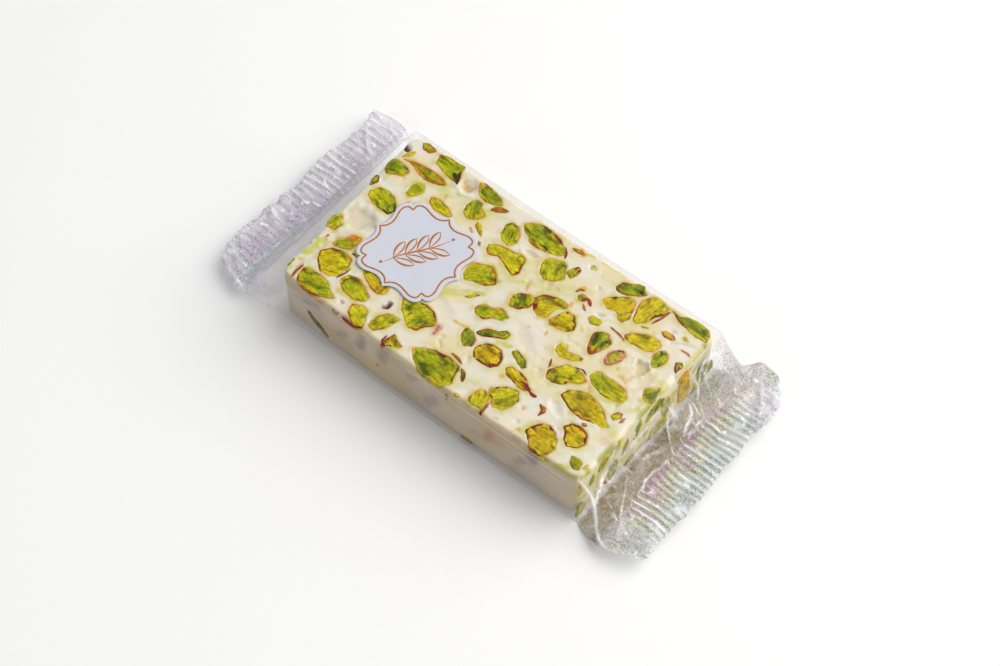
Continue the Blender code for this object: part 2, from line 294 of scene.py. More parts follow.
# x, y, length, width, turn, depth, height of the rim round it
HOLLOWS = (
    (-40.6, -1.6, 9, 6.5, 20, 1.15, 0.2), (-1.8, 16.5, 4.2, 1.6, 5, 0.45, 0.10),
    (12.2, 22.8, 2.2, 1.2, 0, 0.6, 0.05), (-26.3, 22.6, 4.4, 4, 10, 0.7, 0.25),
    (-18.3, -16.7, 1.5, 2.1, 10, 0.65, 0.05), (-27.4, -22.7, 1.5, 0.8, 0, 0.7, 0.05),
    (-45.3, 21.8, 2.2, 2.2, 0, 0.8, 0.1), (24.2, -18.2, 2, 1.2, 30, 0.3, 0),
    (41, 5, 6, 3, 70, 0.35, 0.1), (12, -3, 9, 4, -30, 0.22, 0),
    (22, 13.2, 2.4, 0.9, 20, 0.4, 0.05), (-8, -9, 8, 4, -20, 0.2, 0.05),
    (30, -13.5, 5, 2.4, -30, 0.3, 0.08), (-2, -17, 3, 1.2, -40, 0.3, 0),
)
TORN_HOLE = ((36.3, 9.1), (39.1, 9.5), (40.4, 8.1), (39.9, 6), (39, 4.2), (37.9, 5.5), (37, 7.4))
TORN_DEPTH, TORN_RIM = 0.95, 0.4


def side_distance(x, y, outline):
    """Distance in mm from points to a closed outline, negative inside. Each side of it gives its
    nearest point, and a point is inside if a line from it crosses the sides an odd number of
    times."""
    start = np.asarray(outline, dtype=float)
    end = np.roll(start, -1, axis=0)
    along = end - start
    px, py = x[..., None] - start[:, 0], y[..., None] - start[:, 1]
    share = (px * along[:, 0] + py * along[:, 1]) / (along ** 2).sum(1).clip(1e-9)
    share = np.clip(share, 0, 1)
    gap = np.hypot(px - share * along[:, 0], py - share * along[:, 1]).min(-1)
    crosses = (start[:, 1] > y[..., None]) != (end[:, 1] > y[..., None])
    rise = np.where(along[:, 1] == 0, 1e-9, along[:, 1])
    left_of = px < along[:, 0] * py / rise
    inside = (crosses & left_of).sum(-1) % 2 == 1
    return np.where(inside, -gap, gap)


def cut_height(x, y):
    """Height of the cut face: BAR_TOP, with waves along the knife's way, the hollows as bells
    with a raised rim, and the torn hole with its curled edge."""
    along, across = turned(x, y, KNIFE_TURN)
    z = BAR_TOP - 0.08 + 0.08 * noise(along, across, 13, 11)
    z = z + 0.09 * noise(along / 2.2, across, 2.8, 12) + 0.035 * noise(along / 3, across, 1.0, 13)
    pits = soft_step(0.55, 0.95, noise(along / 1.6, across, 1.5, 18))
    z = z - 0.35 * pits * soft_step(-0.2, 0.5, noise(along, across, 8, 19))
    for number, (hx, hy, length, width, turn, depth, rim) in enumerate(HOLLOWS):
        a, b = turned(x - hx, y - hy, turn)
        reach = np.hypot(2 * a / length, 2 * b / width) * (1 + 0.15 * noise(x, y, 1.3, 20 + number))
        z = z - depth * np.exp(-(reach ** 4) * 1.5) + rim * bell((reach - 1.35) / 0.3)
    ragged = side_distance(x, y, TORN_HOLE) + 0.35 * noise(x, y, 0.9, 15)
    flakes = 0.6 + 0.6 * noise(x, y, 0.8, 16)
    z = z + TORN_RIM * flakes * bell((ragged - 0.35) / 0.35)
    return z - TORN_DEPTH * soft_step(0.15, -0.35, ragged) * (0.85 + 0.15 * noise(x, y, 1.1, 17))


print("cut face at the bar's middle:", cut_height(np.zeros(1), np.zeros(1)).round(2))

# %% [markdown]
# ## Outlines of the nuts
# Chopped kernels have flat breaks and sharp corners, so each nut of the cut face starts from the
# few corners that a knife and a mallet left it, in mm from the bar's middle. A row of corners, or
# of a path's points, reads x, y, x, y and so on. The nuts of the end face take theirs from the CAD
# model: the rim of the node's face. Then the corners are a little rounded, and the edge is made
# ragged.

# %% Corners of the chopped kernels
CHIPS = {
    1: (-45.8, -5.1, -44.3, -3.2, -42.1, -6, -42.7, -8.2, -45.2, -8.5, -45.8, -7.3),
    2: (-40.6, -11, -40.2, -9.1, -38.9, -7.9, -38.3, -6.6, -36.1, -5.7, -35.2, -7,
        -36.1, -10.1, -38, -11.3, -39.9, -11.6),
    3: (-41.4, -14.8, -39.6, -12.3, -37.1, -11.3, -33.9, -11.9, -32.7, -14.1, -33, -17.6,
        -34.6, -19.1, -37.4, -19.4, -39.6, -17.9),
    4: (-31.9, -17.6, -31.3, -15.7, -29.3, -15.1, -26.1, -16, -23.3, -17.6, -23.3, -19.4,
        -26.1, -20.7, -29.3, -20.1, -31.4, -18.8),
    5: (-29.3, -12, -29.3, -13, -27.4, -14.1, -24.9, -15.4, -22.4, -15.9, -21.1, -14.8,
        -21.3, -12.5, -23.5, -10.6, -27.4, -10.2),
    6: (-41, -21, -39.9, -20.4, -37.4, -20.1, -34.3, -20.4, -31.4, -22.3, -28.9, -22.9,
        -30.5, -24.1, -33.6, -25.4, -37.4, -25.5, -39.9, -24.9, -40.8, -22.9),
    7: (-25, -21.6, -23, -20.4, -21.1, -21, -19.6, -22.9, -18.9, -25.4, -21.1, -25.9,
        -23.3, -25.1, -24.6, -23.8),
    8: (-18.8, -22.3, -18, -20.1, -16.8, -18.2, -13.6, -17.9, -13.9, -20.4, -14.9, -22.6,
        -16.4, -24.1, -18.3, -23.8),
    9: (-16.9, -12.6, -14.9, -11.3, -11.8, -10.6, -8.6, -11, -6.4, -12.9, -6.1, -14.1,
        -8, -16.3, -8.6, -17.9, -10.8, -18.5, -13, -16.9, -15.2, -15.4),
    10: (-6.3, -21.9, -4.3, -20.4, -1.8, -19.1, 2, -18.5, 5.8, -18.8, 6.4, -21,
        7.3, -24.1, 5.4, -26.1, 2, -26.2, -1.4, -25.8, -4.3, -24.1),
    11: (-0.1, -9.6, 2.1, -9.5, 4, -10.8, 4.4, -12.8, 2.7, -13.9, 1.3, -13.3, 0.1, -11.4),
    12: (2.3, -8.8, 3.9, -6.5, 6.2, -5.7, 7.8, -4.1, 9.3, -4.4, 9.2, -6.4, 7.4, -7.3, 5.1, -8.6,
         2.9, -9.5),
    13: (12.4, -7.9, 13.2, -6.7, 16.6, -7.8, 17.9, -9.3, 17.1, -10.4, 15.2, -9.5, 13.7, -8.9),
    14: (5.1, -12.3, 5.8, -10.4, 7.9, -9.3, 10.4, -9.4, 12.3, -11, 12.6, -13.2,
        11.4, -14.8, 8.9, -15.1, 6.4, -14.8, 5.3, -13.5),
    15: (-2.1, -2.9, -0.5, -1.3, 1.4, -1.6, 2.9, -0.1, 6.1, -1, 5.1, -2.9, 3.3, -3.5,
        1.4, -5.3, -1.1, -5.1, -2.1, -4.1),
    16: (14.7, -18.8, 16.4, -17.3, 18.3, -16, 20.4, -15.4, 22.3, -17.3, 22, -19.4,
        21.1, -21.6, 18.6, -22.6, 17, -21, 15.4, -20.1),
    17: (14.1, -12.3, 15.1, -11.3, 17.6, -11, 20.1, -11.9, 21.4, -12.9, 22.9, -13.5,
        21.4, -14.8, 18.3, -14.4, 15.4, -13.8),
    18: (22.1, -6.3, 23.6, -4.1, 24.8, -2.6, 27.6, -1.8, 29.2, -2.6, 31.1, -3.5,
        30.1, -5.1, 27.9, -6.3, 27, -7.9, 25.1, -8.5, 22.9, -8.5),
    19: (30.4, -1.6, 31.1, 0.3, 33.3, 0.9, 36.4, 0.6, 39.5, 0.6, 41.1, -1, 40.8, -3.2,
        38.3, -3.8, 35.8, -4.1, 32.6, -3.2),
    20: (28.6, -10.1, 29.2, -7.9, 31.1, -6.3, 33.3, -5.7, 36.4, -6, 38.9, -7.3,
        41.4, -9.1, 42.9, -10.1, 41.4, -10.7, 38.9, -11.3, 36.4, -12.3, 33.3, -11.9,
        30.8, -11),
    21: (34.5, -16.3, 35.4, -14.4, 37.6, -13.8, 40.1, -14.4, 41.5, -16.9, 40.4, -19.1,
        38.3, -20.1, 36.4, -18.8, 35.8, -17.3),
    22: (28.3, -22.6, 28.9, -20.4, 30.1, -18.8, 32, -17.8, 33.9, -18.8, 35.8, -20.1,
        36.9, -22.3, 36.4, -24.8, 34.5, -25.7, 32.3, -25.7, 30.1, -24.1),
    23: (19.4, -0.1, 19.8, 1.2, 21.4, 1.5, 22.3, 0.3, 24.5, 0.6, 26.4, 1.2, 26.7, 0.3,
        24.8, -1, 22, -1.9, 20.1, -1.3),
    24: (-37.8, 25.6, -36.1, 26.4, -33.3, 26.5, -30.5, 26.5, -30.2, 24.6, -29.3, 23.1,
        -28.6, 21.5, -29.9, 21.2, -32.4, 21.5, -34.6, 22.1, -37.1, 23.1),
    25: (-24.6, 25.3, -23, 25.9, -19.9, 25.3, -17.4, 24.6, -15.8, 23.1, -17.4, 22.1,
        -19.9, 21.5, -22.1, 21.8, -23.6, 23.1),
    26: (-43.9, 18.7, -40.5, 19.9, -36.8, 20.4, -33, 20.3, -30.2, 19.3, -31.8, 18.1,
        -34.6, 17.1, -37.4, 17.4, -39.9, 18.4, -42.1, 19),
    27: (-46.2, 17.2, -44.3, 17.8, -41.4, 17.4, -39.9, 16.2, -40.8, 14.3, -42.4, 13.7,
        -44.3, 12.6, -45.5, 13.4, -46.2, 15.3),
    28: (-37.1, 14, -36.1, 15.6, -34.6, 15.6, -33.3, 14, -33.9, 12.1, -35.5, 10.6,
        -36.8, 11.2),
    29: (-31.3, 14.3, -28.6, 14.8, -26.1, 14.3, -23.6, 13.1, -23, 12, -25.5, 11.8,
        -28.6, 11.8, -30.5, 12.8),
    30: (-22.7, 19.9, -21.8, 20.9, -20.2, 20.6, -19.6, 19.3, -17.4, 18.1, -18, 16.2,
        -19.9, 14.8, -22.1, 15.6, -22.9, 17.8),
    31: (-44.1, 6.5, -42.7, 8.7, -40.2, 9.1, -38, 8.4, -35.8, 6.8, -35, 5.3, -35.8, 3.5,
        -38.6, 3.4, -41.1, 4, -43.3, 4.9),
    32: (-8.3, 22.1, -7.4, 23.4, -4.9, 24.8, -1.8, 25.1, 1.4, 24.3, 3.6, 22.8, 4.8, 21.2,
        3.3, 19.9, 1.4, 19.3, -1.8, 18.7, -4.3, 19, -4.9, 19.9, -6.8, 20.6),
    33: (-11.8, 19.3, -10.8, 20.9, -8.6, 20.6, -7.1, 19, -6.4, 16.5, -7.4, 14.9,
        -9.6, 14.9, -11.1, 16.5),
    34: (-11.4, 12.4, -9.9, 13.4, -7.4, 14, -4.9, 14.3, -3.3, 15.1, -1.4, 14.3,
        -0.8, 11.5, -0.2, 10.3, -1.1, 8.7, -3.3, 9.3, -4.9, 10.3, -7.4, 10.9, -9.6, 9.6,
        -10.8, 10.9),
    35: (-11.1, 4.9, -10.5, 5.9, -8, 7.4, -6.1, 7.8, -4.3, 6.5, -2.4, 4.3, -4.3, 2.4,
        -6.4, 1.8, -9.3, 0.6, -10.5, 1.8),
    36: (2, 17.1, 2.6, 18.4, 4.5, 19, 6.1, 19.9, 7.3, 19.3, 7.6, 18.1, 9.2, 15.6,
        7.6, 13.7, 5.1, 12.6, 3.3, 13.7, 2.3, 15.6),
    37: (2.6, 4.6, 3.3, 6.2, 5.1, 7.1, 7.3, 7.1, 7.9, 5.6, 7.6, 4, 6.1, 2.1, 3.9, 1.6,
        2.8, 3.1),
    38: (7, 7.1, 8.3, 9.6, 11.4, 10.8, 14.5, 10.6, 14.8, 9, 12.9, 7.8, 12.6, 4.6,
        10.8, 3.5, 8.9, 4.3, 7.6, 5.9),
    39: (13.4, 4.6, 14.5, 7.4, 15.1, 9, 17.6, 9.1, 19.2, 7.4, 20.1, 5.9, 18.9, 4.3,
        16.4, 3.7, 14.5, 3.5),
    40: (14.4, 14.3, 15, 15.3, 16.2, 15.3, 16.9, 14.7, 16.6, 13.6, 15.4, 13.2),
    41: (19.8, 22.1, 20.4, 24, 22.3, 24.9, 23.6, 26.3, 25.4, 26.4, 25.8, 25.3,
        27.3, 24.6, 25.8, 23.1, 23.9, 21.8, 22, 20.9, 20.4, 21.2),
    42: (19.5, 17.4, 21.4, 19.6, 23.9, 21.5, 26.4, 21.5, 27.3, 19.6, 27.9, 16.5,
        27.3, 14.6, 25.8, 14.9, 24.8, 16.2, 23.6, 16.2, 22.3, 15.3, 20.4, 16.5),
    43: (27.3, 23.4, 28.6, 25.3, 31.4, 25.6, 33.3, 24.6, 33.9, 23.1, 32.6, 20.9,
        31.7, 18.7, 30.4, 16.8, 28.9, 16.8, 27.9, 19, 27.3, 20.9),
    44: (34.5, 24.9, 37, 24.6, 38.6, 25.9, 41.4, 26.4, 44.7, 26.2, 45.9, 24.6,
        46.2, 22.6, 43.3, 22.4, 39.5, 22.9, 37, 23.7),
    45: (29.7, 12.4, 31.4, 14.3, 33.9, 15.8, 37, 16.2, 38.6, 14.9, 38.3, 13.1,
        35.8, 11.8, 32.6, 11.5, 30.4, 11.8),
    46: (38.3, 12.4, 38.9, 14, 40.1, 15.1, 41.4, 14, 42, 12.4, 41.4, 10.3, 40.4, 9.1,
        39.2, 10.3),
    47: (24, 8.4, 25.1, 9.9, 27, 10.3, 29.2, 8.4, 28.6, 5.9, 27.3, 3.1, 26.4, 2.8,
        25.1, 4.6, 24.4, 6.5),
    48: (30.1, 5.9, 31.1, 8.1, 32.6, 8.9, 33.8, 7.8, 33.9, 5.9, 32.6, 3.7, 31.4, 2.8,
        30.4, 4),
    49: (42.6, 3.4, 44.5, 4.9, 45.4, 6, 46.2, 4.6, 46.3, 1.5, 45.1, 0.6, 43.6, 1.5),
    50: (-12.6, -24.8, -11.8, -21.6, -10.5, -22.6, -8, -23.2, -8.6, -24.4, -10.5, -25.1,
        -12.1, -26),
    51: (12.9, -24.1, 13.1, -21, 14.5, -20.1, 16.4, -20.7, 17.3, -22.9, 17, -24.8,
        14.5, -25.4, 13.3, -24.8),
}
print("corners for", len(CHIPS), "nuts")

# %% From a CAD node to a ragged outline
RING = 96


def face_ring(name, axis):
    """The rim of a node's cut face, as points in the two directions across axis. It keeps the
    points near the face, and of those in each of 18 directions the farthest out."""
    points = np.array([v.co for v in frame["nodes"][name].data.vertices]) / MM - MIDDLE
    depth = points[:, axis].max() - points[:, axis]
    plan = np.delete(points[depth < (0.05 if axis == 0 else 1.0)], axis, axis=1)
    centre = (plan.max(0) + plan.min(0)) / 2
    size = (plan.max(0) - plan.min(0)) / 2
    offset = (plan - centre) / size
    angle, reach = np.arctan2(offset[:, 1], offset[:, 0]), np.hypot(offset[:, 0], offset[:, 1])
    sector = np.floor((angle / (2 * np.pi) + 0.5) * 18).astype(int) % 18
    best = [np.flatnonzero(sector == k)[np.argmax(reach[sector == k])] for k in np.unique(sector)]
    return plan[sorted(best, key=lambda i: angle[i])]


def leftward(line, closed):
    """For each point of a path, the unit vector square to it on its left. It is the direction from
    the point before to the point after, turned a quarter."""
    ahead = np.gradient(line, axis=0)
    if closed:
        ahead = np.roll(line, -1, axis=0) - np.roll(line, 1, axis=0)
    return np.column_stack([-ahead[:, 1], ahead[:, 0]]) / np.hypot(*ahead.T)[:, None]


def even_loop(corners, count, rounding, rough, seed):
    """count points along a closed outline, equally spaced. Its corners are rounded by an average
    over a stretch of rounding mm, and its edge is moved in and out by noise, up to rough mm."""
    loop = np.vstack([corners, corners[:1]])
    length = np.concatenate([[0], np.cumsum(np.hypot(*np.diff(loop, axis=0).T))])
    at = np.arange(count) / count * length[-1]
    points = np.column_stack([np.interp(at, length, loop[:, i]) for i in (0, 1)])
    steps = max(1, int(rounding / length[-1] * count))
    points = sum(np.roll(points, k, axis=0) for k in range(-steps, steps + 1)) / (2 * steps + 1)
    edge = noise(*points.T, 1.4, seed) + 0.5 * noise(*points.T, 0.6, seed + 1)
    return points - leftward(points, True) * (rough * edge)[:, None]


def counterclockwise(corners):
    """Corners, as pairs or as one row of x, y, x, y, in the order that keeps the inside left."""
    corners = np.reshape(np.asarray(corners, dtype=float), (-1, 2))
    after = np.roll(corners, -1, axis=0)
    turn = (corners[:, 0] * after[:, 1] - corners[:, 1] * after[:, 0]).sum()
    return corners if turn > 0 else corners[::-1]


NUTS = sorted(name for name in frame["nodes"] if name.startswith("pistachio"))
OUTLINES = {}
for k, name in enumerate(NUTS):
    corners = face_ring(name, 0) if "end" in name else CHIPS[int(name[-2:])]
    OUTLINES[name] = even_loop(counterclockwise(corners), RING, 0.3, 0.13, 100 + k)
print(len(NUTS), "nuts; the longest is",
      round(max(np.ptp(o, axis=0).max() for o in OUTLINES.values()), 1), "mm")

# %% [markdown]
# ## The nougat
# Nougat is whipped sugar, honey and egg white: matt, cream white, a little see-through, and
# smeared with green and amber where the knife went through a nut. It could be a box with a
# displacement, but then its walls and pockets would be guesswork. Here a square grid is bent into
# the bar's plan and lifted to the cut face, and rings carry its edge down the walls.

# %% The bar's plan and walls
TOP_STEP, WALL_STEP = 0.32, 0.5
NOUGAT_LIMIT = BAR_TOP + 0.12


def bar_plan(x, y):
    """A point of a plain rectangle moved into the bar's plan. In each corner square (a, b) goes to
    (a sqrt(1 - b^2/2), b sqrt(1 - a^2/2)), a quarter of a disc. Then the plan is bowed and its
    left end cut askew. Also gives how far the point is from the edge, up to the corner's radius."""
    reach_x, reach_y = BAR_LENGTH / 2 - BAR_CORNER, BAR_WIDTH / 2 - BAR_CORNER
    a = np.clip((abs(x) - reach_x) / BAR_CORNER, 0, 1)
    b = np.clip((abs(y) - reach_y) / BAR_CORNER, 0, 1)
    round_a, round_b = a * np.sqrt(1 - b * b / 2), b * np.sqrt(1 - a * a / 2)
    x = np.sign(x) * (np.minimum(abs(x), reach_x) + BAR_CORNER * round_a)
    y = np.sign(y) * (np.minimum(abs(y), reach_y) + BAR_CORNER * round_b)
    along, across = 2 * x / BAR_LENGTH, 2 * y / BAR_WIDTH
    skewed = x + BAR_SKEW * np.maximum(0, -along) * (1 - across) / 2
    return skewed, y + BAR_BOW * along ** 2, BAR_CORNER * (1 - np.hypot(round_a, round_b))


def nut_distance(x, y):
    """Distance to the nearest nut in the cut face, negative inside one, worked out only near each
    nut. Also gives how deep that nut's pocket goes."""
    nearest, depth = np.full(x.shape, 9.0), np.zeros(x.shape)
    for name in NUTS:
        if "top" not in name:
            continue
        outline = OUTLINES[name]
        (x0, y0), (x1, y1) = outline.min(0) - 3, outline.max(0) + 3
        near = np.flatnonzero((x > x0) & (x < x1) & (y > y0) & (y < y1))
        gap = side_distance(x[near], y[near], outline)
        depth[near] = np.where(gap < 0, BAR_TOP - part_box(name)[0].z / MM, depth[near])
        nearest[near] = np.minimum(nearest[near], gap)
    return nearest, depth


columns = int(BAR_LENGTH / TOP_STEP)
rows = int(BAR_WIDTH / TOP_STEP)
flat_y, flat_x = np.meshgrid(np.linspace(-1, 1, rows) * BAR_WIDTH / 2,
                             np.linspace(-1, 1, columns) * BAR_LENGTH / 2, indexing="ij")
x, y, inward = (a.ravel() for a in bar_plan(flat_x, flat_y))
gap, pocket = nut_distance(x, y)
z = np.minimum(cut_height(x, y), NOUGAT_LIMIT) + 0.09 * bell((gap - 0.45) / 0.35)
z = z - (pocket + 0.2) * soft_step(-0.1, -0.7, gap)
EDGE = BAR_EDGE * (1 + 0.4 * noise(x, y, 4, 30) + 0.2 * noise(x, y, 1.5, 33))
z = z - EDGE * (1 - np.sqrt(1 - np.clip(1 - inward / EDGE, 0, 1) ** 2))
top_points = np.column_stack([x, y, z])

grid = np.arange(rows * columns).reshape(rows, columns)
rim = np.concatenate([grid[0], grid[1:, -1], grid[-1, -2::-1], grid[-2:0:-1, 0]])
edge = top_points[rim]
ahead = np.roll(edge, -1, axis=0) - np.roll(edge, 1, axis=0)
outward = -leftward(edge[:, :2], True)
girth = np.cumsum(np.hypot(ahead[:, 0], ahead[:, 1]) / 2)
wall_rings = []
for share in np.linspace(0, 1, int((BAR_TOP - BAR_BASE) / WALL_STEP))[1:]:
    height = edge[:, 2] + (BAR_BASE - edge[:, 2]) * share
    bulge = 0.12 * noise(girth, height, 6, 31) + 0.05 * noise(girth, height, 1.6, 32)
    bulge = bulge * np.sin(np.pi * share) - 0.8 * soft_step(0.93, 1.0, share) ** 2
    wall_rings.append(np.column_stack([edge[:, :2] + outward * bulge[:, None], height]))
wall_points = np.vstack(wall_rings)
ring = len(rim)
wall_faces = grid_faces(len(wall_rings), ring, True)[:, ::-1] + len(top_points)
first = len(top_points) + np.arange(ring)
collar = np.stack([rim, first, np.roll(first, -1), np.roll(rim, -1)], axis=-1)
base_face = [(len(top_points) + len(wall_points) - ring + np.arange(ring))[::-1]]
print("nougat:", len(top_points) + len(wall_points), "points; rim of", ring, "points,",
      round(float(girth[-1])), "mm round")

# %% [markdown]
# ## Stains in the nougat
# The blade wipes green and amber from the nuts across the soft surface, and thin flakes of skin
# leave small marks. Colours are mixed for each point of the mesh: a stain is a soft stroke from
# one place to another, and noise breaks up its edge so that it looks wiped and not drawn.

# %% Strokes of colour
# x, y at its start and end, width, strength; by colour. On top:
TOP_STAINS_AND_SHADE = {
    "lime": (
        (-12, -6, -4, 1, 3.5, 0.45), (-5, 4, 4, 9, 2.5, 0.35), (2, 9, 16, 16, 3, 0.35),
        (-30, 17, -14, 21, 2.5, 0.45), (-44, -25, -43, -12, 2.2, 0.55),
        (-30, -21, -22, -17, 2, 0.4), (-38, 14, -30, 20, 3, 0.35), (33, -6, 45, -2, 3, 0.45),
        (37, 10, 46, 7, 2.5, 0.35), (40, -26, 46, -22, 3, 0.5), (13, 26, 33, 26.5, 1.5, 0.6),
        (-6, 26, 12, 26.3, 1.2, 0.5), (8.5, -8, 11, -7.2, 1.2, 0.8), (-27, 19, -25, 19.5, 1, 0.6),
        (9.5, 25.2, 10.6, 25.4, 1, 0.8), (30, 26.3, 32.5, 26.4, 1.3, 0.9),
        (-44.6, -12.2, -43.6, -12.8, 0.9, 0.9), (41.6, -6, 45, -11, 2.5, 0.3),
        (34.3, 4.2, 34.7, 3.8, 0.8, 0.9), (41, 20.8, 42.3, 20.1, 0.9, 1),
        (20.7, 7.9, 21.1, 7.1, 0.8, 0.7), (-36, 26, -31, 26.6, 1.4, 0.4), (4, -24, 12, -20, 4, 0.3),
        (27, -25, 30, -19, 2, 0.35), (23, 12, 28, 14, 2, 0.3), (-7, -2.5, -3, 0.3, 1.4, 0.5),
    ),
    "gold": (
        (-3.2, -9.8, 0.4, -9.5, 0.8, 0.8), (14.2, 16.8, 14.6, 16.5, 1.3, 0.9),
        (36, 3, 41, 2, 2, 0.3), (14.5, -14.6, 15.3, -14.8, 0.6, 0.8), (44, 0, 45.5, 6, 1.6, 0.3),
        (22, 11, 26, 9, 1.2, 0.25),
    ),
    "orange": (
        (-42.7, -11.2, -42.5, -11.2, 0.7, 1), (7.2, 24.9, 8.4, 24.4, 1.3, 1),
        (5.4, 23.9, 5.6, 23.7, 1, 0.6), (3.6, 8.9, 4.1, 8, 1, 0.7),
        (-28.7, 16.8, -28.5, 16.1, 0.7, 0.7), (24, -18, 24.4, -18.4, 0.9, 0.7),
        (26.8, -23.5, 27.2, -23.5, 0.9, 0.7), (14.8, 11.6, 15.3, 11, 0.8, 0.8),
        (9.2, 12.9, 10, 12.7, 0.8, 0.6), (37, 2.4, 38, 2, 1, 0.5),
        (32.6, -4.2, 33.4, -4.8, 0.7, 0.7), (15.6, 1.3, 15.2, 0.7, 0.6, 0.8),
        (10.8, 0.1, 11.2, 0, 0.5, 0.6),
    ),
    "amber": (
        (-27.8, -25.7, -26.2, -25.7, 0.6, 0.9), (-13.5, 11.2, -13, 10.7, 0.7, 0.9),
        (-17.8, 13, -16.9, 12.4, 0.8, 0.9), (17.6, -21.8, 17.3, -25.2, 0.7, 0.9),
        (-35, -26, -31, -26.1, 0.5, 0.7), (-15.8, -18.8, -15.2, -20.5, 0.5, 0.5),
    ),
    # The first brown stroke, the umber strokes and the first two tan strokes lie in hollows and
    # darken them as painted shade.
    "brown": ((-18.7, -17.3, -18.1, -16.1, 1.39, 1), (-46, 0.4, -45.9, -0.4, 0.6, 0.9),
              (-45.3, -14.3, -44.9, -14.7, 0.6, 0.8)),
    "umber": ((-45.7, 21.9, -45, 21.6, 1.39, 1), (-18.2, -16.9, -18.2, -16.6, 1.1, 1),
              (-27.9, -22.7, -26.9, -22.7, 0.5, 0.4)),
    "crimson": ((-12.5, -25.8, -12.1, -25.6, 0.7, 0.9), (-24.9, -25.6, -19.9, -25.9, 0.5, 0.5)),
    "rose": (
        (-5.2, -13.3, -4.5, -16, 1.6, 0.45), (44, -13.4, 44.6, -13.7, 1.8, 0.55),
        (42.5, 17.6, 45.5, 17.4, 0.5, 0.5), (-34.3, 9.3, -33.4, 8.2, 1, 0.7),
        (26, 12, 31, 11.1, 0.45, 0.7), (-41.9, -20, -41.7, -25, 0.9, 0.6),
    ),
    "tan": ((-27.4, 22.9, -25.2, 22.3, 1.39, 1), (-26.8, 21.9, -25.8, 21.7, 1.39, 0.9),
            (-39, 25.8, -38.4, 25.4, 0.8, 0.3)),
    "taupe": ((37.6, 8.3, 39.2, 5.2, 2.4, 0.7),),
    "pale": ((-42, 1.6, -38, 1.8, 1.6, 0.8), (35.8, 10, 41, 9.6, 1.4, 0.5),
             (36, 6.4, 37.8, 4.4, 1, 0.7)),
}
# Along the front wall it is x and z, and the nuts behind a skin of nougat show as blurs.
FRONT_STAINS = {
    "teal": ((-35.6, 7.8, -33.6, 5.4, 1.36, 1), (-33.4, 5.1, -30.3, 2.9, 1.3, 1),
             (11.7, 1.2, 15.4, 1.2, 1.36, 0.9)),
    "umber": ((-34.4, 6.2, -33.2, 5.2, 0.6, 0.9), (7.6, 13.2, 7.7, 15.6, 0.6, 0.7)),
    "mauve": ((-19.6, 9, -18.2, 13.2, 3, 0.75), (-12.4, 10.6, -11.6, 14, 3.2, 0.6),
              (-37, 12, -33, 12.8, 2.4, 0.5), (33, 12, 33.6, 14.6, 3, 0.65),
              (28.5, 6.5, 30, 9, 2.6, 0.45), (-26, 8, -24, 10, 2.6, 0.4), (2, 6, 4, 9, 3, 0.4),
              (-4, 11, -2, 13, 2.6, 0.4)),
    "rust": ((19.8, 8.2, 20.6, 11.4, 2.4, 0.5), (-18.9, 10.4, -18.7, 11.6, 1.2, 0.35)),
    "rose": ((-14.1, 6.5, -13.8, 6.4, 0.8, 0.9), (21.4, 12, 22.4, 13.4, 1.3, 0.4)),
    "gold": ((8.3, 9.5, 8.9, 9.7, 0.9, 0.6), (-26, 4.5, -24, 5, 1.6, 0.15)),
    "lime": ((25, 4, 29, 6, 2.4, 0.2), (36, 14, 42, 13, 1.8, 0.3), (-2, 14.5, 3, 14.9, 1.6, 0.35)),
}
# Along the back wall x and z, and along both ends y and z.
BACK_STAINS = {
    "rust": ((-24, 9, -22, 12, 1.9, 0.4), (12, 4, 14, 7, 1.6, 0.35)),
    "lime": ((-40, 13, -30, 14, 2.2, 0.35), (-4, 3, 3, 5, 2.4, 0.3), (28, 13, 38, 14.5, 2, 0.35)),
    "rose": ((-16, 4, -14, 5, 1.6, 0.4), (30, 9.5, 33, 10, 1.8, 0.35)),
    "leaf": ((-20, 14, -16, 15, 1.8, 0.3), (14, 12, 17, 13, 1.8, 0.3)),
}
RIGHT_STAINS = {
    "lime": ((-25, 8, -14, 13, 4.5, 0.75), (-10, 4, 2, 8, 4, 0.7), (4, 10, 13, 8, 4, 0.6),
             (14, 4, 24, 7, 4, 0.6), (-22, 3, -14, 3, 3, 0.5), (-27, 14, -4, 15.5, 2, 0.6)),
    "leaf": ((-15, 9, -11, 12, 2.4, 0.6), (7, 5.5, 10, 7, 2, 0.45), (-19, 6, -18, 8, 1.8, 0.5),
             (18, 11, 22, 13, 2.4, 0.45)),
    "gold": ((8, 9.5, 12, 11, 2.4, 0.7), (-3, 2, 0, 2.4, 1.6, 0.5)),
    "teal": ((-13.5, 14, -10.5, 15.5, 1.6, 0.5), (-7, 6, -6, 8, 1.2, 0.4)),
    "orange": ((12, 13.5, 16, 14, 2, 0.6), (19, 8, 20, 8.5, 1.3, 0.5)),
}
LEFT_STAINS = {
    "lime": ((-22, 12, -12, 14, 3, 0.4), (-8, 4, 2, 6, 3, 0.35), (10, 12, 20, 13, 3, 0.4)),
    "rust": ((4, 10, 5, 12, 1.6, 0.4),), "rose": ((-10, 11, -8, 12, 1.5, 0.4),),
}


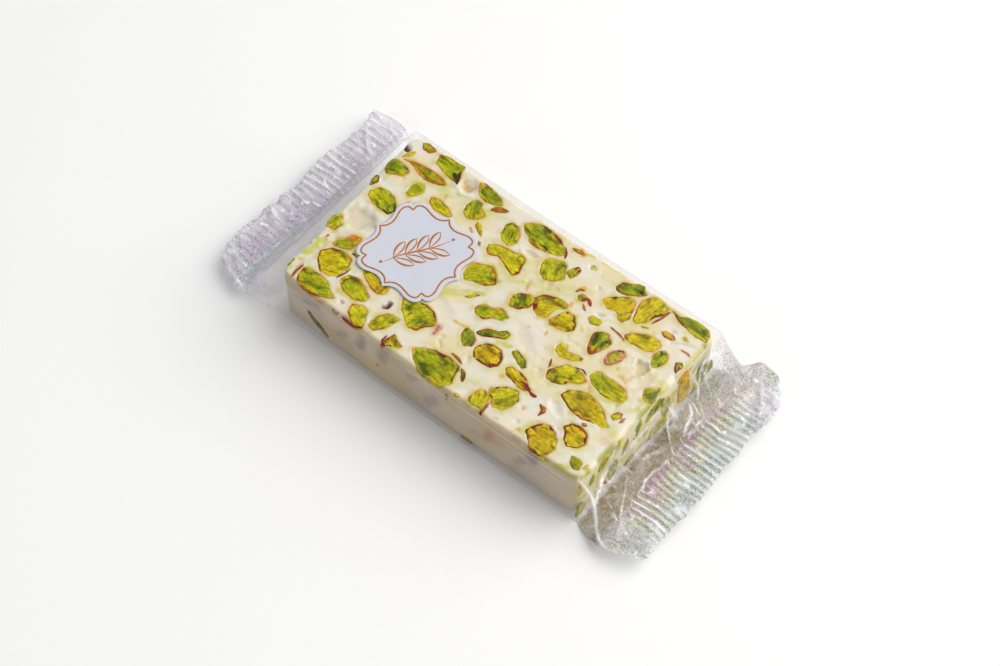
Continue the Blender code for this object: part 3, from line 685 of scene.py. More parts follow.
def stained(colour, x, y, stains, seed, wiped=1.0):
    """Strokes laid over a colour. A point's share is 1 on the stroke's line and falls to 0 over
    its width, after noise has moved the point by up to a third of a millimetre. Wide strokes are
    wiped thin in streaks along the knife's way."""
    x = x + 0.35 * noise(x, y, 0.9, seed)
    y = y + 0.35 * noise(x, y, 0.9, seed + 1)
    along, across = turned(x, y, KNIFE_TURN)
    streaks = 0.35 + 1.3 * soft_step(-0.5, 0.8, noise(along / 3.5, across, 1.0, seed + 2))
    streaks = 1 + wiped * (streaks - 1)
    for name, strokes in stains.items():
        for x0, y0, x1, y1, width, strength in strokes:
            ax, ay = x1 - x0, y1 - y0
            share = np.clip(((x - x0) * ax + (y - y0) * ay) / (ax * ax + ay * ay), 0, 1)
            away = np.hypot(x - x0 - share * ax, y - y0 - share * ay) / width
            cover = strength * soft_step(0.75, 0.2, away) * np.where(width < 1.4, 1.0, streaks)
            colour = mix(colour, STAIN[name], np.clip(cover, 0, 1))
    return colour


def nougat_colour(x, y, gap, seed):
    """Cream, warmer and cooler in patches, with a faint green halo near the nuts."""
    along, across = turned(x, y, KNIFE_TURN)
    colour = mix(CREAM, CREAM_WARM, 0.8 * soft_step(-0.3, 0.8, noise(along / 2, across, 4.5, seed)))
    cool = soft_step(0.0, 0.8, noise(along / 2, across, 6, seed + 1))
    colour = mix(colour, CREAM_COOL, 0.8 * cool)
    streaks = soft_step(0.2, 0.9, noise(along / 5, across, 1.6, seed + 2))
    colour = mix(colour, STAIN["lime"], 0.22 * streaks * np.exp(-np.clip(gap, 0, 9) / 2.5))
    near = np.exp(-np.clip(gap, 0, 9) / 1.0) * (0.55 + 0.9 * noise(x, y, 1.4, seed + 3))
    colour = mix(colour, STAIN["lime"], np.clip(0.85 * near, 0, 1))
    warm = np.exp(-np.clip(gap, 0, 9) / 0.36) * soft_step(-0.5, 0.6, noise(x, y, 2.0, seed + 4))
    return mix(colour, STAIN["orange"], 0.75 * warm)


# Painted shade: the cut face is mixed towards tan in its hollows, pits and the torn hole, fading
# out at the bar's edge.
shade = soft_step(0.12, 0.75, BAR_TOP - cut_height(x, y)) * soft_step(0.0, 0.5, inward)
top_colour = mix(nougat_colour(x, y, gap, 40), linear("#D3C29A"), 0.45 * shade)
top_colour = stained(top_colour, x, y, TOP_STAINS_AND_SHADE, 50)
arris = soft_step(1.5, 0.3, inward)
smear = soft_step(-0.5, 0.3, noise(x, y, 3.2, 56))
right_arris = arris * soft_step(-3.0, -1.0, x - BAR_LENGTH / 2)
top_colour = mix(top_colour, STAIN["lime"] * (0.8, 0.78, 0.8), 0.75 * right_arris * smear)
flecks = soft_step(0.35, 0.7, noise(x, y, 2.2, 57))
top_colour = mix(top_colour, STAIN["leaf"], 0.8 * right_arris * flecks)
# Painted shade: along the front edge the top darkens and browns where it rolls down to the shaded
# front wall, with darker tan patches.
front_edge_shade = arris * soft_step(-BAR_WIDTH / 2 + 2.5, -BAR_WIDTH / 2 + 0.8, y)
top_colour = top_colour * (1 - front_edge_shade[:, None] * (0.24, 0.33, 0.45))
top_colour = mix(top_colour, STAIN["tan"] * (0.6, 0.55, 0.5),
                 0.35 * front_edge_shade * soft_step(0.1, 0.7, noise(x, y, 2.6, 58)))
wall_x, wall_y, wall_z = wall_points.T
wall_colour = nougat_colour(np.tile(girth, len(wall_rings)), wall_z, np.full(len(wall_x), 9.0), 60)
# Painted light and shade on the walls: all are darker than the top; the front wall, in the bar's
# own shade, is darker and browner still, a little lighter near the bottom and mottled with darker
# grey patches; the right end, lit by the key panel, is lighter and yellower.
facing_front = soft_step(-BAR_WIDTH / 2 + 2.6, -BAR_WIDTH / 2 + 0.8, wall_y)
facing_right = soft_step(BAR_LENGTH / 2 - 1.6, BAR_LENGTH / 2 - 0.6, wall_x) * (1 - facing_front)
in_shade = (0.64 + 0.07 * soft_step(14, 2, wall_z))[:, None] * (1.0, 0.87, 0.74)
mottled = soft_step(-0.1, 0.8, noise(wall_x / 1.6, wall_z, 3.4, 76))
in_shade = mix(in_shade, in_shade * (0.8, 0.79, 0.85), 0.8 * mottled)
wall_light_and_shade = mix(np.full(wall_colour.shape, (0.88, 0.85, 0.78)), in_shade, facing_front)
wall_light_and_shade = mix(wall_light_and_shade, np.full(wall_colour.shape, (1.08, 1.06, 0.86)), facing_right)
wall_colour = wall_colour * wall_light_and_shade
for at_wall, along, stains, seed, wiped in (
        (wall_y < 3 - BAR_WIDTH / 2, wall_x, FRONT_STAINS, 70, 0.2),
        (wall_y > BAR_WIDTH / 2 - 3, wall_x, BACK_STAINS, 72, 1.0),
        (wall_x > BAR_LENGTH / 2 - 2.5, wall_y, RIGHT_STAINS, 74, 1.0),
        (wall_x < 3 - BAR_LENGTH / 2, wall_y, LEFT_STAINS, 74, 1.0)):
    wall_colour[at_wall] = stained(wall_colour[at_wall], along[at_wall], wall_z[at_wall], stains,
                                   seed, wiped)
print("stains:", sum(map(len, TOP_STAINS_AND_SHADE.values())), "on top,",
      sum(map(len, FRONT_STAINS.values())), "in front")

# %% [markdown]
# Real nougat lets light a little way in, which softens its shadows, so the shader scatters under
# the surface over about a millimetre. Sugar grain of a tenth of a millimetre is too fine to show,
# so its bump is drawn four times as coarse.

# %% Nougat's finish and its mesh
nougat, tree = new_material("whipped_nougat")
place = add_node(tree, "TexCoord").outputs["Object"]
tint = add_node(tree, "Attribute", attribute_name="colour")
MOTTLE_MM, SUGAR_MM = 1.4, 0.4
mottle = add_node(tree, "TexNoise", {"Vector": place}, Scale=1 / (MOTTLE_MM * MM), Detail=4.0)
shade = add_node(tree, "MapRange", {"Value": mottle}, To_Min=0.93, To_Max=1.07)
body = add_node(tree, "VectorMath", {"Vector": tint, "Scale": shade},
                operation="SCALE")
sugar = add_node(tree, "TexNoise", {"Vector": place}, Scale=1 / (SUGAR_MM * MM), Detail=3.0)
bump = add_node(tree, "Bump", {"Height": sugar}, Strength=0.4, Distance=0.00014)
gloss = add_node(tree, "MapRange", {"Value": mottle}, To_Min=0.38, To_Max=0.6)
surface = add_node(tree, "BsdfPrincipled", {
    "Base Color": body, "Roughness": gloss,
    "Normal": bump}, Subsurface_Weight=0.35, Subsurface_Scale=0.0012, IOR=1.48,
    Subsurface_Radius=(1.0, 0.75, 0.5))
add_node(tree, "OutputMaterial", {"Surface": surface})

add_piece("nougat_bar", np.vstack([top_points, wall_points]),
          [*grid_faces(rows, columns, False), *collar, *wall_faces, *base_face], nougat, "nougat",
          ["nougat"], colour=np.vstack([top_colour, wall_colour]))
print("nougat bar made")

# %% [markdown]
# ## The cut pistachios
# A pistachio kernel has dense yellow-green flesh that breaks in long fibres, and a papery skin,
# wine red where it faced the sun and brown elsewhere. A cut piece shows flesh inside a thin line
# of skin on the sides that were its outside. Each piece is a stack of rings: from a short line
# along its middle out to its rim, over the edge, and down into its pocket. Its fibres are ridges
# in the mesh, and the skin is a coloured part of the rim, as wide as a real skin is thick.

# %% What each nut looks like
# direction of the fibres, shade of flesh at the start and at the end of that direction (0 dark
# outside, 1 green, 2 lime, 3 yellow), then skins: from, to (degrees round the piece), width, stain
NUT_LOOKS = {
    "top_01": (85, 1.5, 0.5, (10, 80, 0.5, "lime")),
    "top_02": (47, 0.8, 1.6, (20, 140, 1.5, "orange")),
    "top_03": (30, 2.5, 2.1, (95, 265, 0.4, "brown"), (20, 80, 0.3, "amber")),
    "top_04": (-12, 1, 1.2, (140, 230, 0.5, "gold")),
    "top_05": (-12, 2.4, 2.8, (230, 330, 0.4, "amber")),
    "top_06": (-4, 1.5, 0.9, (150, 215, 0.6, "brown"), (215, 330, 0.35, "rust")),
    "top_07": (-5, 2, 1.7, (130, 235, 0.6, "rust"), (290, 345, 0.5, "crimson")),
    "top_08": (75, 1.5, 1.5, (250, 330, 0.4, "amber")),
    "top_09": (60, 1.5, 1.3, (5, 150, 0.5, "brown"), (290, 365, 0.4, "rust")),
    "top_10": (-8, 0.7, 1.5, (45, 165, 0.6, "crimson"), (-20, 45, 0.5, "brown"),
               (165, 200, 0.9, "gold")),
    "top_11": (100, 0.4, 0.4, (130, 240, 0.5, "amber")),
    "top_12": (35, 0.1, 0.6, (0, 360, 0.35, "brown")),
    "top_13": (-33, 0.6, 0, (40, 150, 0.45, "brown")),
    "top_14": (-5, 2.6, 2.9, (0, 360, 0.45, "brown"), (-60, 60, 0.8, "crimson")),
    "top_15": (10, 0.9, 1.7, (150, 205, 0.8, "amber"), (50, 130, 0.35, "amber"),
               (205, 300, 0.4, "brown")),
    "top_16": (60, 1.6, 1.3, (95, 170, 0.45, "crimson"), (200, 262, 0.4, "crimson"),
               (10, 80, 0.3, "rust")),
    "top_17": (-11, 2.9, 2.6, (-30, 15, 1.3, "crimson"), (15, 180, 0.4, "crimson"),
               (180, 330, 0.3, "brown")),
    "top_18": (17, 1.9, 1.6, (130, 235, 0.5, "crimson"), (235, 330, 0.55, "crimson")),
    "top_19": (-3, 0.9, 2.1, (230, 320, 0.3, "amber")),
    "top_20": (-9, 2.4, 2.6, (160, 250, 0.4, "brown"), (250, 335, 0.4, "rust")),
    "top_21": (-15, 2.8, 2.4, (0, 360, 0.5, "crimson"), (60, 200, 0.5, "brown")),
    "top_22": (10, 2.7, 2.3, (50, 240, 0.55, "crimson"), (240, 330, 0.35, "brown")),
    "top_23": (5, 2.2, 1.9),
    "top_24": (-8, 1.1, 0.6, (-50, 15, 1, "umber"), (100, 200, 0.3, "amber")),
    "top_25": (-15, 1.2, 0.3, (130, 230, 0.5, "orange"), (230, 340, 0.35, "amber")),
    "top_26": (0, 1.2, 0.8, (0, 360, 0.7, "amber"), (180, 300, 0.7, "orange")),
    "top_27": (8, 0.2, 1.1, (-70, 40, 0.5, "amber"), (220, 290, 0.4, "brown")),
    "top_28": (70, 1.5, 0.9),
    "top_29": (0, 1.9, 1.7, (80, 200, 0.35, "amber")),
    "top_30": (-60, 0.5, 1.6, (150, 230, 0.45, "brown")),
    "top_31": (-18, 1.5, 0.8, (-60, 25, 0.7, "umber"), (25, 90, 0.4, "amber")),
    "top_32": (-9, 0.8, 1.3, (15, 85, 0.6, "crimson"), (215, 290, 0.7, "amber"),
               (85, 150, 0.4, "umber")),
    "top_33": (105, 1.2, 1, (60, 190, 0.4, "brown")),
    "top_34": (-7, 1.8, 2, (0, 360, 0.35, "amber"), (-40, 30, 0.5, "brown")),
    "top_35": (40, 1.5, 1.4, (-100, 70, 0.45, "amber"), (-20, 30, 0.6, "rust")),
    "top_36": (-70, 1.5, 1.3, (150, 260, 0.3, "amber")),
    "top_37": (-50, 1.1, 1.3, (-130, 50, 0.5, "brown"), (100, 180, 0.3, "amber")),
    "top_38": (42, 2.5, 2.1, (80, 200, 0.5, "brown"), (200, 250, 0.9, "crimson")),
    "top_39": (12, 2.8, 2, (-45, 130, 0.5, "brown"), (130, 200, 0.4, "rust")),
    "top_40": (-20, 0, 0.1, (-60, 60, 1.2, "rust")),
    "top_41": (20, 0, 0.2, (120, 240, 0.5, "brown"), (240, 290, 0.4, "amber")),
    "top_42": (60, 2.4, 2.5, (95, 175, 0.55, "umber"), (-30, 50, 0.45, "brown")),
    "top_43": (78, 2.3, 2.2, (-50, 30, 0.5, "brown"), (200, 260, 0.3, "rust")),
    "top_44": (-2, 0, 1.2, (150, 250, 0.4, "brown"), (250, 330, 0.3, "gold")),
    "top_45": (14, 2.2, 2.3, (160, 290, 0.4, "amber")),
    "top_46": (100, 0.5, 1.1),
    "top_47": (95, 0.5, 0.4, (235, 305, 1.3, "rust"), (150, 235, 0.4, "brown"),
               (20, 100, 0.3, "amber")),
    "top_48": (78, 2.1, 0.7, (0, 360, 0.75, "rose"), (60, 110, 0.7, "brown")),
    "top_49": (60, 1, 1.1, (180, 300, 0.35, "gold")),
    "top_50": (-15, 2.5, 1.8, (90, 330, 0.6, "crimson"), (0, 90, 0.3, "rust")),
    "top_51": (115, 1, 2.4, (150, 250, 0.4, "amber")),
    "end_1": (0, 2.99, 2.99, (0, 360, 0.35, "orange")),
    "end_2": (20, 1.2, 1.4),
    "end_3": (90, 0.5, 0.8),
    "end_4": (70, 0.3, 0.6, (100, 200, 0.4, "brown")),
}
NUT_LIMIT = BAR_TOP + 0.3
NUT_SHARES = (0.1, 0.25, 0.4, 0.54, 0.66, 0.76, 0.84, 0.9, 0.945, 0.975, 1.0)


# %% Flesh, skin and fibres of a piece
def flesh_colour(shade, light):
    """Colour of flesh. shade picks between the rows of FLESH, and light, from 0 to 1, between a
    row's three colours, from painted shade in the hollows to painted light on the ridges."""
    shade = np.clip(shade, 0, 2.999)
    row = np.floor(shade).astype(int)
    part = (shade - row)[..., None]
    dark, middle, bright = (FLESH[row, k] * (1 - part) + FLESH[row + 1, k] * part for k in range(3))
    low_half = dark + (middle - dark) * np.clip(2 * light, 0, 1)[..., None]
    return low_half + (bright - middle) * np.clip(2 * light - 1, 0, 1)[..., None]


def middle_line(outline, grain):
    """For each point of an outline, the point of the piece's middle line that it shrinks to. The
    line is the parabola through the middle of the piece along its fibres, and it stops short of
    both ends by half the width."""
    centre = (outline.max(0) + outline.min(0)) / 2
    u, v = turned(*(outline - centre).T, grain)
    half_length, half_width = np.ptp(u) / 2, np.ptp(v) / 2
    curve = np.polyfit(u, v, 2)
    reach = max(0.25, half_length - 0.8 * half_width)
    line_u = np.clip(u, u.mean() - reach, u.mean() + reach)
    line_v = np.polyval(curve, line_u)
    c, s = np.cos(np.radians(grain)), np.sin(np.radians(grain))
    return centre + np.column_stack([line_u * c - line_v * s, line_u * s + line_v * c])


def nut_piece(outline, look, seed, ground, depth, rise=0.1, shares=NUT_SHARES):
    """Rings of a piece in its own plane: points with a height, faces, colour, skin and uv. A ring
    at share r lies r of the way from the middle line to the outline. The height is the ground,
    plus ridges that run with the fibres, and it dips at the rim. Below it, two rings go down."""
    grain, start_shade, end_shade, *skins = look
    middle = middle_line(outline, grain)
    reach = np.hypot(*(outline - middle).T)
    centre = middle.mean(0)
    rings = [middle + share * (outline - middle) for share in shares]
    plan = np.vstack(rings)
    to_rim = np.concatenate([(1 - share) * reach for share in shares])
    u, v = turned(*(plan - centre).T, grain)
    fibres = noise(u / 3.2, v + 0.4 * noise(u, v, 2.5, seed), 0.55, seed + 1)
    lumps = noise(u / 1.5, v, 1.3, seed + 2)
    furrow = bell(noise(u / 2.5, v, 1.9, seed + 3) / 0.12)
    height = rise + 0.1 * fibres + 0.17 * lumps - 0.2 * furrow
    height = height * soft_step(0.0, 0.5, to_rim) + 0.05 * soft_step(0.5, 0.15, to_rim)
    height = height - 0.1 * soft_step(0.12, 0.0, to_rim)
    along = u / max(np.ptp(u) / 2, 0.1)
    shade = start_shade + (end_shade - start_shade) * soft_step(-0.8, 0.8, along)
    shade = shade + 0.35 * noise(u / 2, v, 1.8, seed + 4)
    # light: the flesh's uneven tone, with painted light on the fibres' ridges, the lumps and near
    # the rim, and painted shade in the furrows and right at the rim
    light = 0.59 + 0.27 * fibres + 0.32 * lumps - 0.55 * furrow + 0.2 * noise(u, v, 0.6, seed + 5)
    light = light + 0.18 * soft_step(1.1, 0.5, to_rim) - 0.1 * soft_step(0.3, 0.0, to_rim)
    colour = flesh_colour(shade, np.clip(light, 0, 1))
    # An orange-brown band round the rim: skin left on the flesh, and painted shade where the nut
    # meets the nougat
    rim_skin_and_shade = soft_step(0.62, 0.12, to_rim + 0.22 * noise(u, v, 0.9, seed + 8))
    rim_skin_and_shade = rim_skin_and_shade * (0.15 + 0.85 * soft_step(-0.45, 0.5, noise(u, v, 2.4, seed + 9)))
    colour = mix(colour, STAIN["orange"] * (0.8, 0.6, 0.45), 0.62 * rim_skin_and_shade)
    angle = np.degrees(np.arctan2(*(plan - centre).T[::-1]))
    skin = np.zeros(len(plan))
    for start, end, width, stain in skins:
        span = (angle - start) % 360
        wide = width * (0.85 + 0.85 * noise(span / 14, span * 0, 1, seed + 6))
        ends = 1.0 if end - start >= 360 else (soft_step(0, 14, span)
                                                * soft_step(end - start, end - start - 14, span))
        cover = soft_step(wide + 0.12, wide - 0.12, to_rim) * ends * (to_rim < wide + 0.12)
        tone = STAIN[stain] * (1 + 0.35 * noise(u, v, 0.7, seed + 7))[:, None]
        colour = colour + (tone - colour) * cover[:, None]
        skin = np.maximum(skin, cover)
        height = height + 0.05 * cover
    z = ground(plan[:, 0], plan[:, 1]) + height
    if ground is cut_height:
        z = np.minimum(z, NUT_LIMIT)
    rim_z = z[-len(outline):]
    below = [np.column_stack([middle + size * (outline - middle), rim_z - drop * depth])
             for size, drop in ((0.96, 0.45), (0.55, 1.0))]
    points = np.vstack([np.column_stack([plan, z]), *below])
    count = len(outline)
    levels = len(shares) + len(below)
    faces = [*grid_faces(levels, count, True)[:, ::-1], np.arange(count),
             (levels - 1) * count + np.arange(count)[::-1]]
    spread = np.column_stack([u, v])
    spread = np.vstack([spread, np.tile(spread[-count:], (2, 1))])
    colour = np.vstack([colour, np.tile(colour[-count:], (2, 1))])
    skin = np.append(skin, np.tile(skin[-count:], 2))
    return points, faces, np.clip(colour, 0, 1), skin, spread


print("looks for", len(NUT_LOOKS), "nuts")

# %% [markdown]
# Fresh pistachio flesh is a little oily, so it has a soft gloss, while the dry skin has none. The
# fibres are about a third of a millimetre apart. They follow each piece's own direction, so the
# pattern is laid out on the piece's own map, whose unit is a millimetre along and across them.

# %% Pistachio's finish
def kernel_material(name, base_gloss):
    """Flesh and skin of a pistachio. The piece's colour attribute says which is where."""
    material, tree = new_material(name)
    tint = add_node(tree, "Attribute", attribute_name="colour")
    skin = add_node(tree, "Attribute", attribute_name="skin").outputs["Fac"]
    map_mm = add_node(tree, "UVMap", uv_map="grain")
    FIBRE_MM = 0.33
    stretched = add_node(tree, "Mapping", {"Vector": map_mm},
                         Scale=(0.28 / FIBRE_MM, 1 / FIBRE_MM, 1))
    fibre = add_node(tree, "TexNoise", {"Vector": stretched}, Scale=1.0, Detail=5.0,
                     Roughness=0.62, Distortion=0.25)
    shade = add_node(tree, "MapRange", {"Value": fibre}, From_Min=0.34, From_Max=0.66,
                     To_Min=0.58, To_Max=1.24)
    fibred = add_node(tree, "VectorMath", {"Vector": tint, "Scale": shade},
                      operation="SCALE")
    CRACK_MM = 1.1
    broad = add_node(tree, "Mapping", {"Vector": map_mm}, Scale=(0.4 / CRACK_MM, 1 / CRACK_MM, 1))
    crack = add_node(tree, "TexNoise", {"Vector": broad}, Scale=1.0, Detail=4.0,
                     Roughness=0.6, Distortion=0.5)
    groove = add_node(tree, "MapRange", {"Value": crack}, From_Min=0.43, From_Max=0.34,
                      To_Min=0.0, To_Max=0.55)
    mixed = add_node(tree, "Mix", {0: groove, 6: fibred,
                                   7: rgba(linear("#5C6A04"))}, data_type="RGBA")
    rough = add_node(tree, "MapRange", {"Value": skin}, To_Min=base_gloss, To_Max=0.7)
    bump = add_node(tree, "Bump", {"Height": fibre}, Strength=0.7, Distance=0.00016)
    surface = add_node(tree, "BsdfPrincipled", {
        "Base Color": mixed.outputs[2], "Roughness": rough,
        "Normal": bump}, Subsurface_Weight=0.12, Subsurface_Scale=0.0006, IOR=1.47,
        Subsurface_Radius=(0.8, 1.0, 0.2), Specular_IOR_Level=0.2)
    add_node(tree, "OutputMaterial", {"Surface": surface})
    return material


KERNEL = {"pistachio_yellow": kernel_material("yellow_pistachio_flesh", 0.36),
          "pistachio_green": kernel_material("green_pistachio_flesh", 0.38),
          "pistachio_dark": kernel_material("dark_pistachio_flesh", 0.42)}
SLOTS = {part["node"]: part["material_slot"] for part in frame["record"]["subparts"]}
print("slots of the nuts:", sorted({SLOTS[name] for name in NUTS}))

# %% The nuts of the cut face and of the end face
END_X = BAR_LENGTH / 2


def end_ground(across, height):
    """The end face, as a height over the plane x = 0: it is flat."""
    return np.full(np.shape(across), END_X)


def from_end_plane(points):
    """Points made in the end face's plane (y, z and x as height) put back into x, y, z."""
    return points[:, [2, 0, 1]]


for number, name in enumerate(NUTS):
    look = NUT_LOOKS[name.replace("pistachio_", "")]
    low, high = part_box(name)
    at_end = "end" in name
    depth = (high.x - low.x if at_end else BAR_TOP * MM - low.z) / MM
    points, faces, colour, skin, spread = nut_piece(
        OUTLINES[name], look, 300 + 10 * number, end_ground if at_end else cut_height,
        depth - 0.3, 0.3 if at_end else 0.1)
    if at_end:
        points = from_end_plane(points)
    add_piece(name.replace("pistachio", "nut"), points, faces, KERNEL[SLOTS[name]], SLOTS[name],
              [name], colour=colour, skin=skin, uv=spread)
print(len(NUTS), "nuts made")

# %% [markdown]
# ## Crumbs, shreds of skin, and nuts in the walls
# Between the big nuts lie crumbs and strips of skin that tore off in the chopping. Each kind is
# one mesh: many small pieces of the same make as the nuts, joined. A strip is a piece too, whose
# outline follows a path at half its width on either side. On the walls the pieces lie flush, so
# each wall is a plane of its own with a way back into space.

# %% Crumbs of the cut face
# corners, then the look, as for the nuts
CRUMBS = (
    ((-43.5, 25.6, -42.1, 26.5, -39.9, 26.3, -38.8, 25.6, -39.9, 24, -42.1, 24),
     (10, 1.2, 0.8, (0, 360, 0.6, "amber"))),
    ((-44.6, 18.7, -44.3, 20.9, -43.3, 22.3, -42.4, 22.4, -42.7, 20.6), (60, 2.4, 2.6)),
    ((-45.9, 10.9, -44.9, 11.2, -43.9, 9.3, -45.2, 7.4, -45.8, 9),
     (90, 0.4, 0.6, (0, 360, 0.4, "brown"))),
    ((-17.7, 15.9, -16.1, 15.6, -14.6, 14, -13.9, 12.6, -15.5, 13.1, -17.4, 14.3),
     (-45, 2, 1.8)),
    ((20.1, 10.9, 20.8, 12.1, 23.6, 12.4, 23.9, 10.6, 21.7, 9.5), (10, 1.6, 1.4)),
    ((8.1, 17.4, 8.5, 19.5, 9.6, 20.9, 10.8, 20.4, 11.1, 18.6, 10.3, 16.9),
     (80, 1.2, 1, (30, 150, 0.7, "crimson"), (200, 300, 0.4, "amber"))),
    ((-6.3, -3.2, -5.8, -2.2, -4.1, -0.6, -3.2, -0.3, -3.7, -1.4, -5.1, -3.1),
     (45, 1.3, 1.3, (30, 200, 0.3, "brown"))),
    ((40.8, -21, 42.6, -20.4, 44.2, -21, 44.6, -23.2, 43.3, -23.8, 41.5, -22.9),
     (20, 0.5, 0.8, (200, 300, 0.3, "brown"))),
    ((44.8, -22.6, 44.9, -20.8, 45.6, -20.6, 45.8, -21.9), (80, 2.5, 2.5)),
    ((41, -7.2, 41.6, -5.4, 43, -4.9, 43.6, -6.2, 42.4, -7.9),
     (30, 2.5, 1.5, (0, 200, 0.6, "crimson"))),
    ((43.5, -6.4, 44.3, -5.2, 44.6, -7, 43.8, -7.7), (60, 2.2, 2, (0, 360, 0.45, "rose"))),
    ((43.7, 14, 45, 15, 46, 14, 45.7, 11.3, 44.6, 12.2), (80, 1, 1, (0, 360, 0.7, "crimson"))),
    ((26.4, -15, 28.5, -14.8, 29.2, -16, 28.2, -18, 27.8, -16.2),
     (-60, 0.5, 1, (0, 360, 0.75, "rust"))),
    ((35.9, 18.7, 36.8, 19.5, 38.6, 19.7, 40.1, 19, 39.4, 18, 37.2, 17.8),
     (5, 2.9, 2.9, (0, 360, 0.45, "rose"), (0, 360, 0.25, "rust"))),
    ((31.2, 16.7, 31.6, 17.3, 33.2, 17.8, 33.3, 17.2, 32, 16.6), (25, 2, 2)),
    ((-34.9, -10.8, -34.4, -9.2, -32.9, -9.3, -32.7, -10.9),
     (10, 0.4, 0.4, (0, 360, 0.4, "brown"))),
    ((37.1, -12.9, 38.1, -12.2, 38.8, -12.9, 38, -13.6), (20, 1, 1, (0, 360, 0.5, "crimson"))),
    ((34.9, -26.2, 36.2, -25.6, 37.6, -26.1, 36.3, -26.5), (0, 0.7, 0.9)),
    ((-44.8, -20.3, -44.1, -20.4, -43.9, -22.8, -44.5, -23), (90, 0.2, 0.2)),
    ((4.6, 24.2, 5.5, 24.8, 8.2, 24.9, 8.6, 24.1, 6.4, 23.8),
     (5, 2.9, 2.9, (0, 360, 0.3, "amber"))),
    ((11.6, 22.8, 12.3, 23.7, 13, 22.9, 12.4, 22), (60, 0.9, 1.2)),
    ((-14.1, 11.4, -13.2, 11.7, -12.7, 10.9, -13.5, 10.4), (0, 1.5, 1.5, (0, 360, 0.4, "amber"))),
    ((40.9, 20.9, 41.6, 21.3, 42.4, 20.2, 41.8, 19.9), (-50, 1.9, 1.9)),
    ((-28.2, -16.9, -27.5, -16.4, -26.9, -16.9, -27.5, -17.4), (0, 1.2, 1.2)),
    ((9.3, -25.4, 10.4, -24.7, 11.3, -25.3, 10.3, -25.9), (10, 1.7, 1.4)),
    ((-43.5, -10.4, -43, -9.6, -42.4, -10.1, -42.8, -10.9), (60, 2.7, 2.7, (0, 360, 0.3, "amber"))),
)
# points, width, stain
SHREDS = (
    ((34.4, 24.6, 33.9, 22, 32.9, 18.7), 0.55, "rust"),
    ((17.4, -22.3, 17.7, -24.4, 17.5, -25.7, 18.2, -26.1), 0.5, "crimson"),
    ((26, 12.1, 28.6, 11.9, 31, 11.1), 0.4, "rust"),
    ((-41.5, -20.2, -41.8, -22.8, -41.2, -25), 0.5, "rust"),
    ((-32.2, -14, -32.2, -16.4, -33, -18.6), 0.45, "brown"),
    ((22.4, -13.9, 24, -14.2, 24.9, -14), 0.7, "crimson"),
    ((6.4, -19, 7.9, -20, 8.9, -21.9), 0.9, "brown"),
    ((1.8, -17.1, 3.9, -17.5, 6, -18.2), 0.7, "amber"),
    ((3.4, 23.6, 4.9, 22, 5.5, 20.4), 0.5, "crimson"),
    ((-17.5, 20.5, -15.9, 21.8, -13.5, 22.9), 1.3, "amber"),
    ((16.6, 15.1, 17.8, 14.5, 18.9, 13.6), 0.7, "rust"),
    ((16.9, 13.2, 17.8, 12.4, 18.7, 11.9), 0.6, "rose"),
    ((13.4, 14.6, 13.9, 15.9, 15.2, 16.4), 0.5, "amber"),
    ((-31.7, 23.5, -30, 22.5, -28.5, 20.9), 0.9, "umber"),
    ((-11.4, -25.9, -13, -24.8, -12.9, -22.9), 0.5, "crimson"),
    ((-24.6, -25.9, -22, -26.2, -19.9, -26), 0.5, "crimson"),
    ((20.8, -3.4, 21.6, -5, 21.9, -6.2), 0.4, "rust"),
    ((42.7, 17.4, 44.2, 17.7, 45.5, 17.3), 0.35, "rose"),
    ((-34.4, 9.4, -33.8, 8.9, -33.4, 8.1), 0.4, "rose"),
    ((-5.5, -12.9, -4.6, -14.4, -4.8, -16.2), 0.45, "rose"),
    ((26.6, -2.1, 28.6, -1.4, 30.2, -2.2), 0.4, "crimson"),
    ((-2.9, 19.8, -0.7, 20.2, 1.6, 19.8), 0.45, "umber"),
)
STRIP_POINTS, CRUMB_POINTS = 14, 40
CRUMB_SHARES = (0.15, 0.4, 0.62, 0.8, 0.92, 1.0)


def path_points(path, share):
    """Points at the given shares of a path, counted by its corners and straight between them."""
    path = np.reshape(np.asarray(path, dtype=float), (-1, 2))
    at = np.linspace(0, 1, len(path))
    return np.column_stack([np.interp(share, at, path[:, k]) for k in (0, 1)])


def strip_outline(path, width):
    """The outline of a strip: out along the path at half its width on one side and back on the
    other. The width swells from nothing at the ends as the root of a sine."""
    share = np.linspace(0, 1, STRIP_POINTS)
    line = path_points(path, share)
    side = leftward(line, False)
    half = width / 2 * np.sqrt(np.sin(np.pi * np.clip(share, 0.03, 0.97)))[:, None]
    return np.vstack([line - side * half, (line + side * half)[::-1]])


def joined(parts):
    """Several pieces, each points, faces, colour, skin and uv, as one."""
    start = np.cumsum([0] + [len(part[0]) for part in parts])
    faces = [np.asarray(face) + first for first, part in zip(start, parts) for face in part[1]]
    return [np.concatenate([part[k] for part in parts]) if k != 1 else faces for k in range(5)]


def small_piece(corners, look, seed, ground=cut_height, rise=0.32):
    """A crumb: a nut in small, with fewer points round it."""
    outline = even_loop(counterclockwise(corners), CRUMB_POINTS, 0.25, 0.09, seed)
    return nut_piece(outline, look, seed, ground, 0.5, rise, CRUMB_SHARES)


crumbs = joined([small_piece(corners, look, 2000 + 10 * k)
                 for k, (corners, look) in enumerate(CRUMBS)])
shreds = joined([small_piece(strip_outline(path, 1.35 * width),
                             (0, 1.0, 1.0, (0, 360, 2.0, stain)), 3000 + 10 * k, rise=0.3)
                 for k, (path, width, stain) in enumerate(SHREDS)])
for name, (points, faces, colour, skin, spread) in (("nut_crumbs", crumbs),
                                                    ("skin_shreds", shreds)):
    add_piece(name, points, faces, KERNEL["pistachio_green"], "pistachio_green",
              colour=colour, skin=skin, uv=spread)
    print(name, "of", len(points), "points")

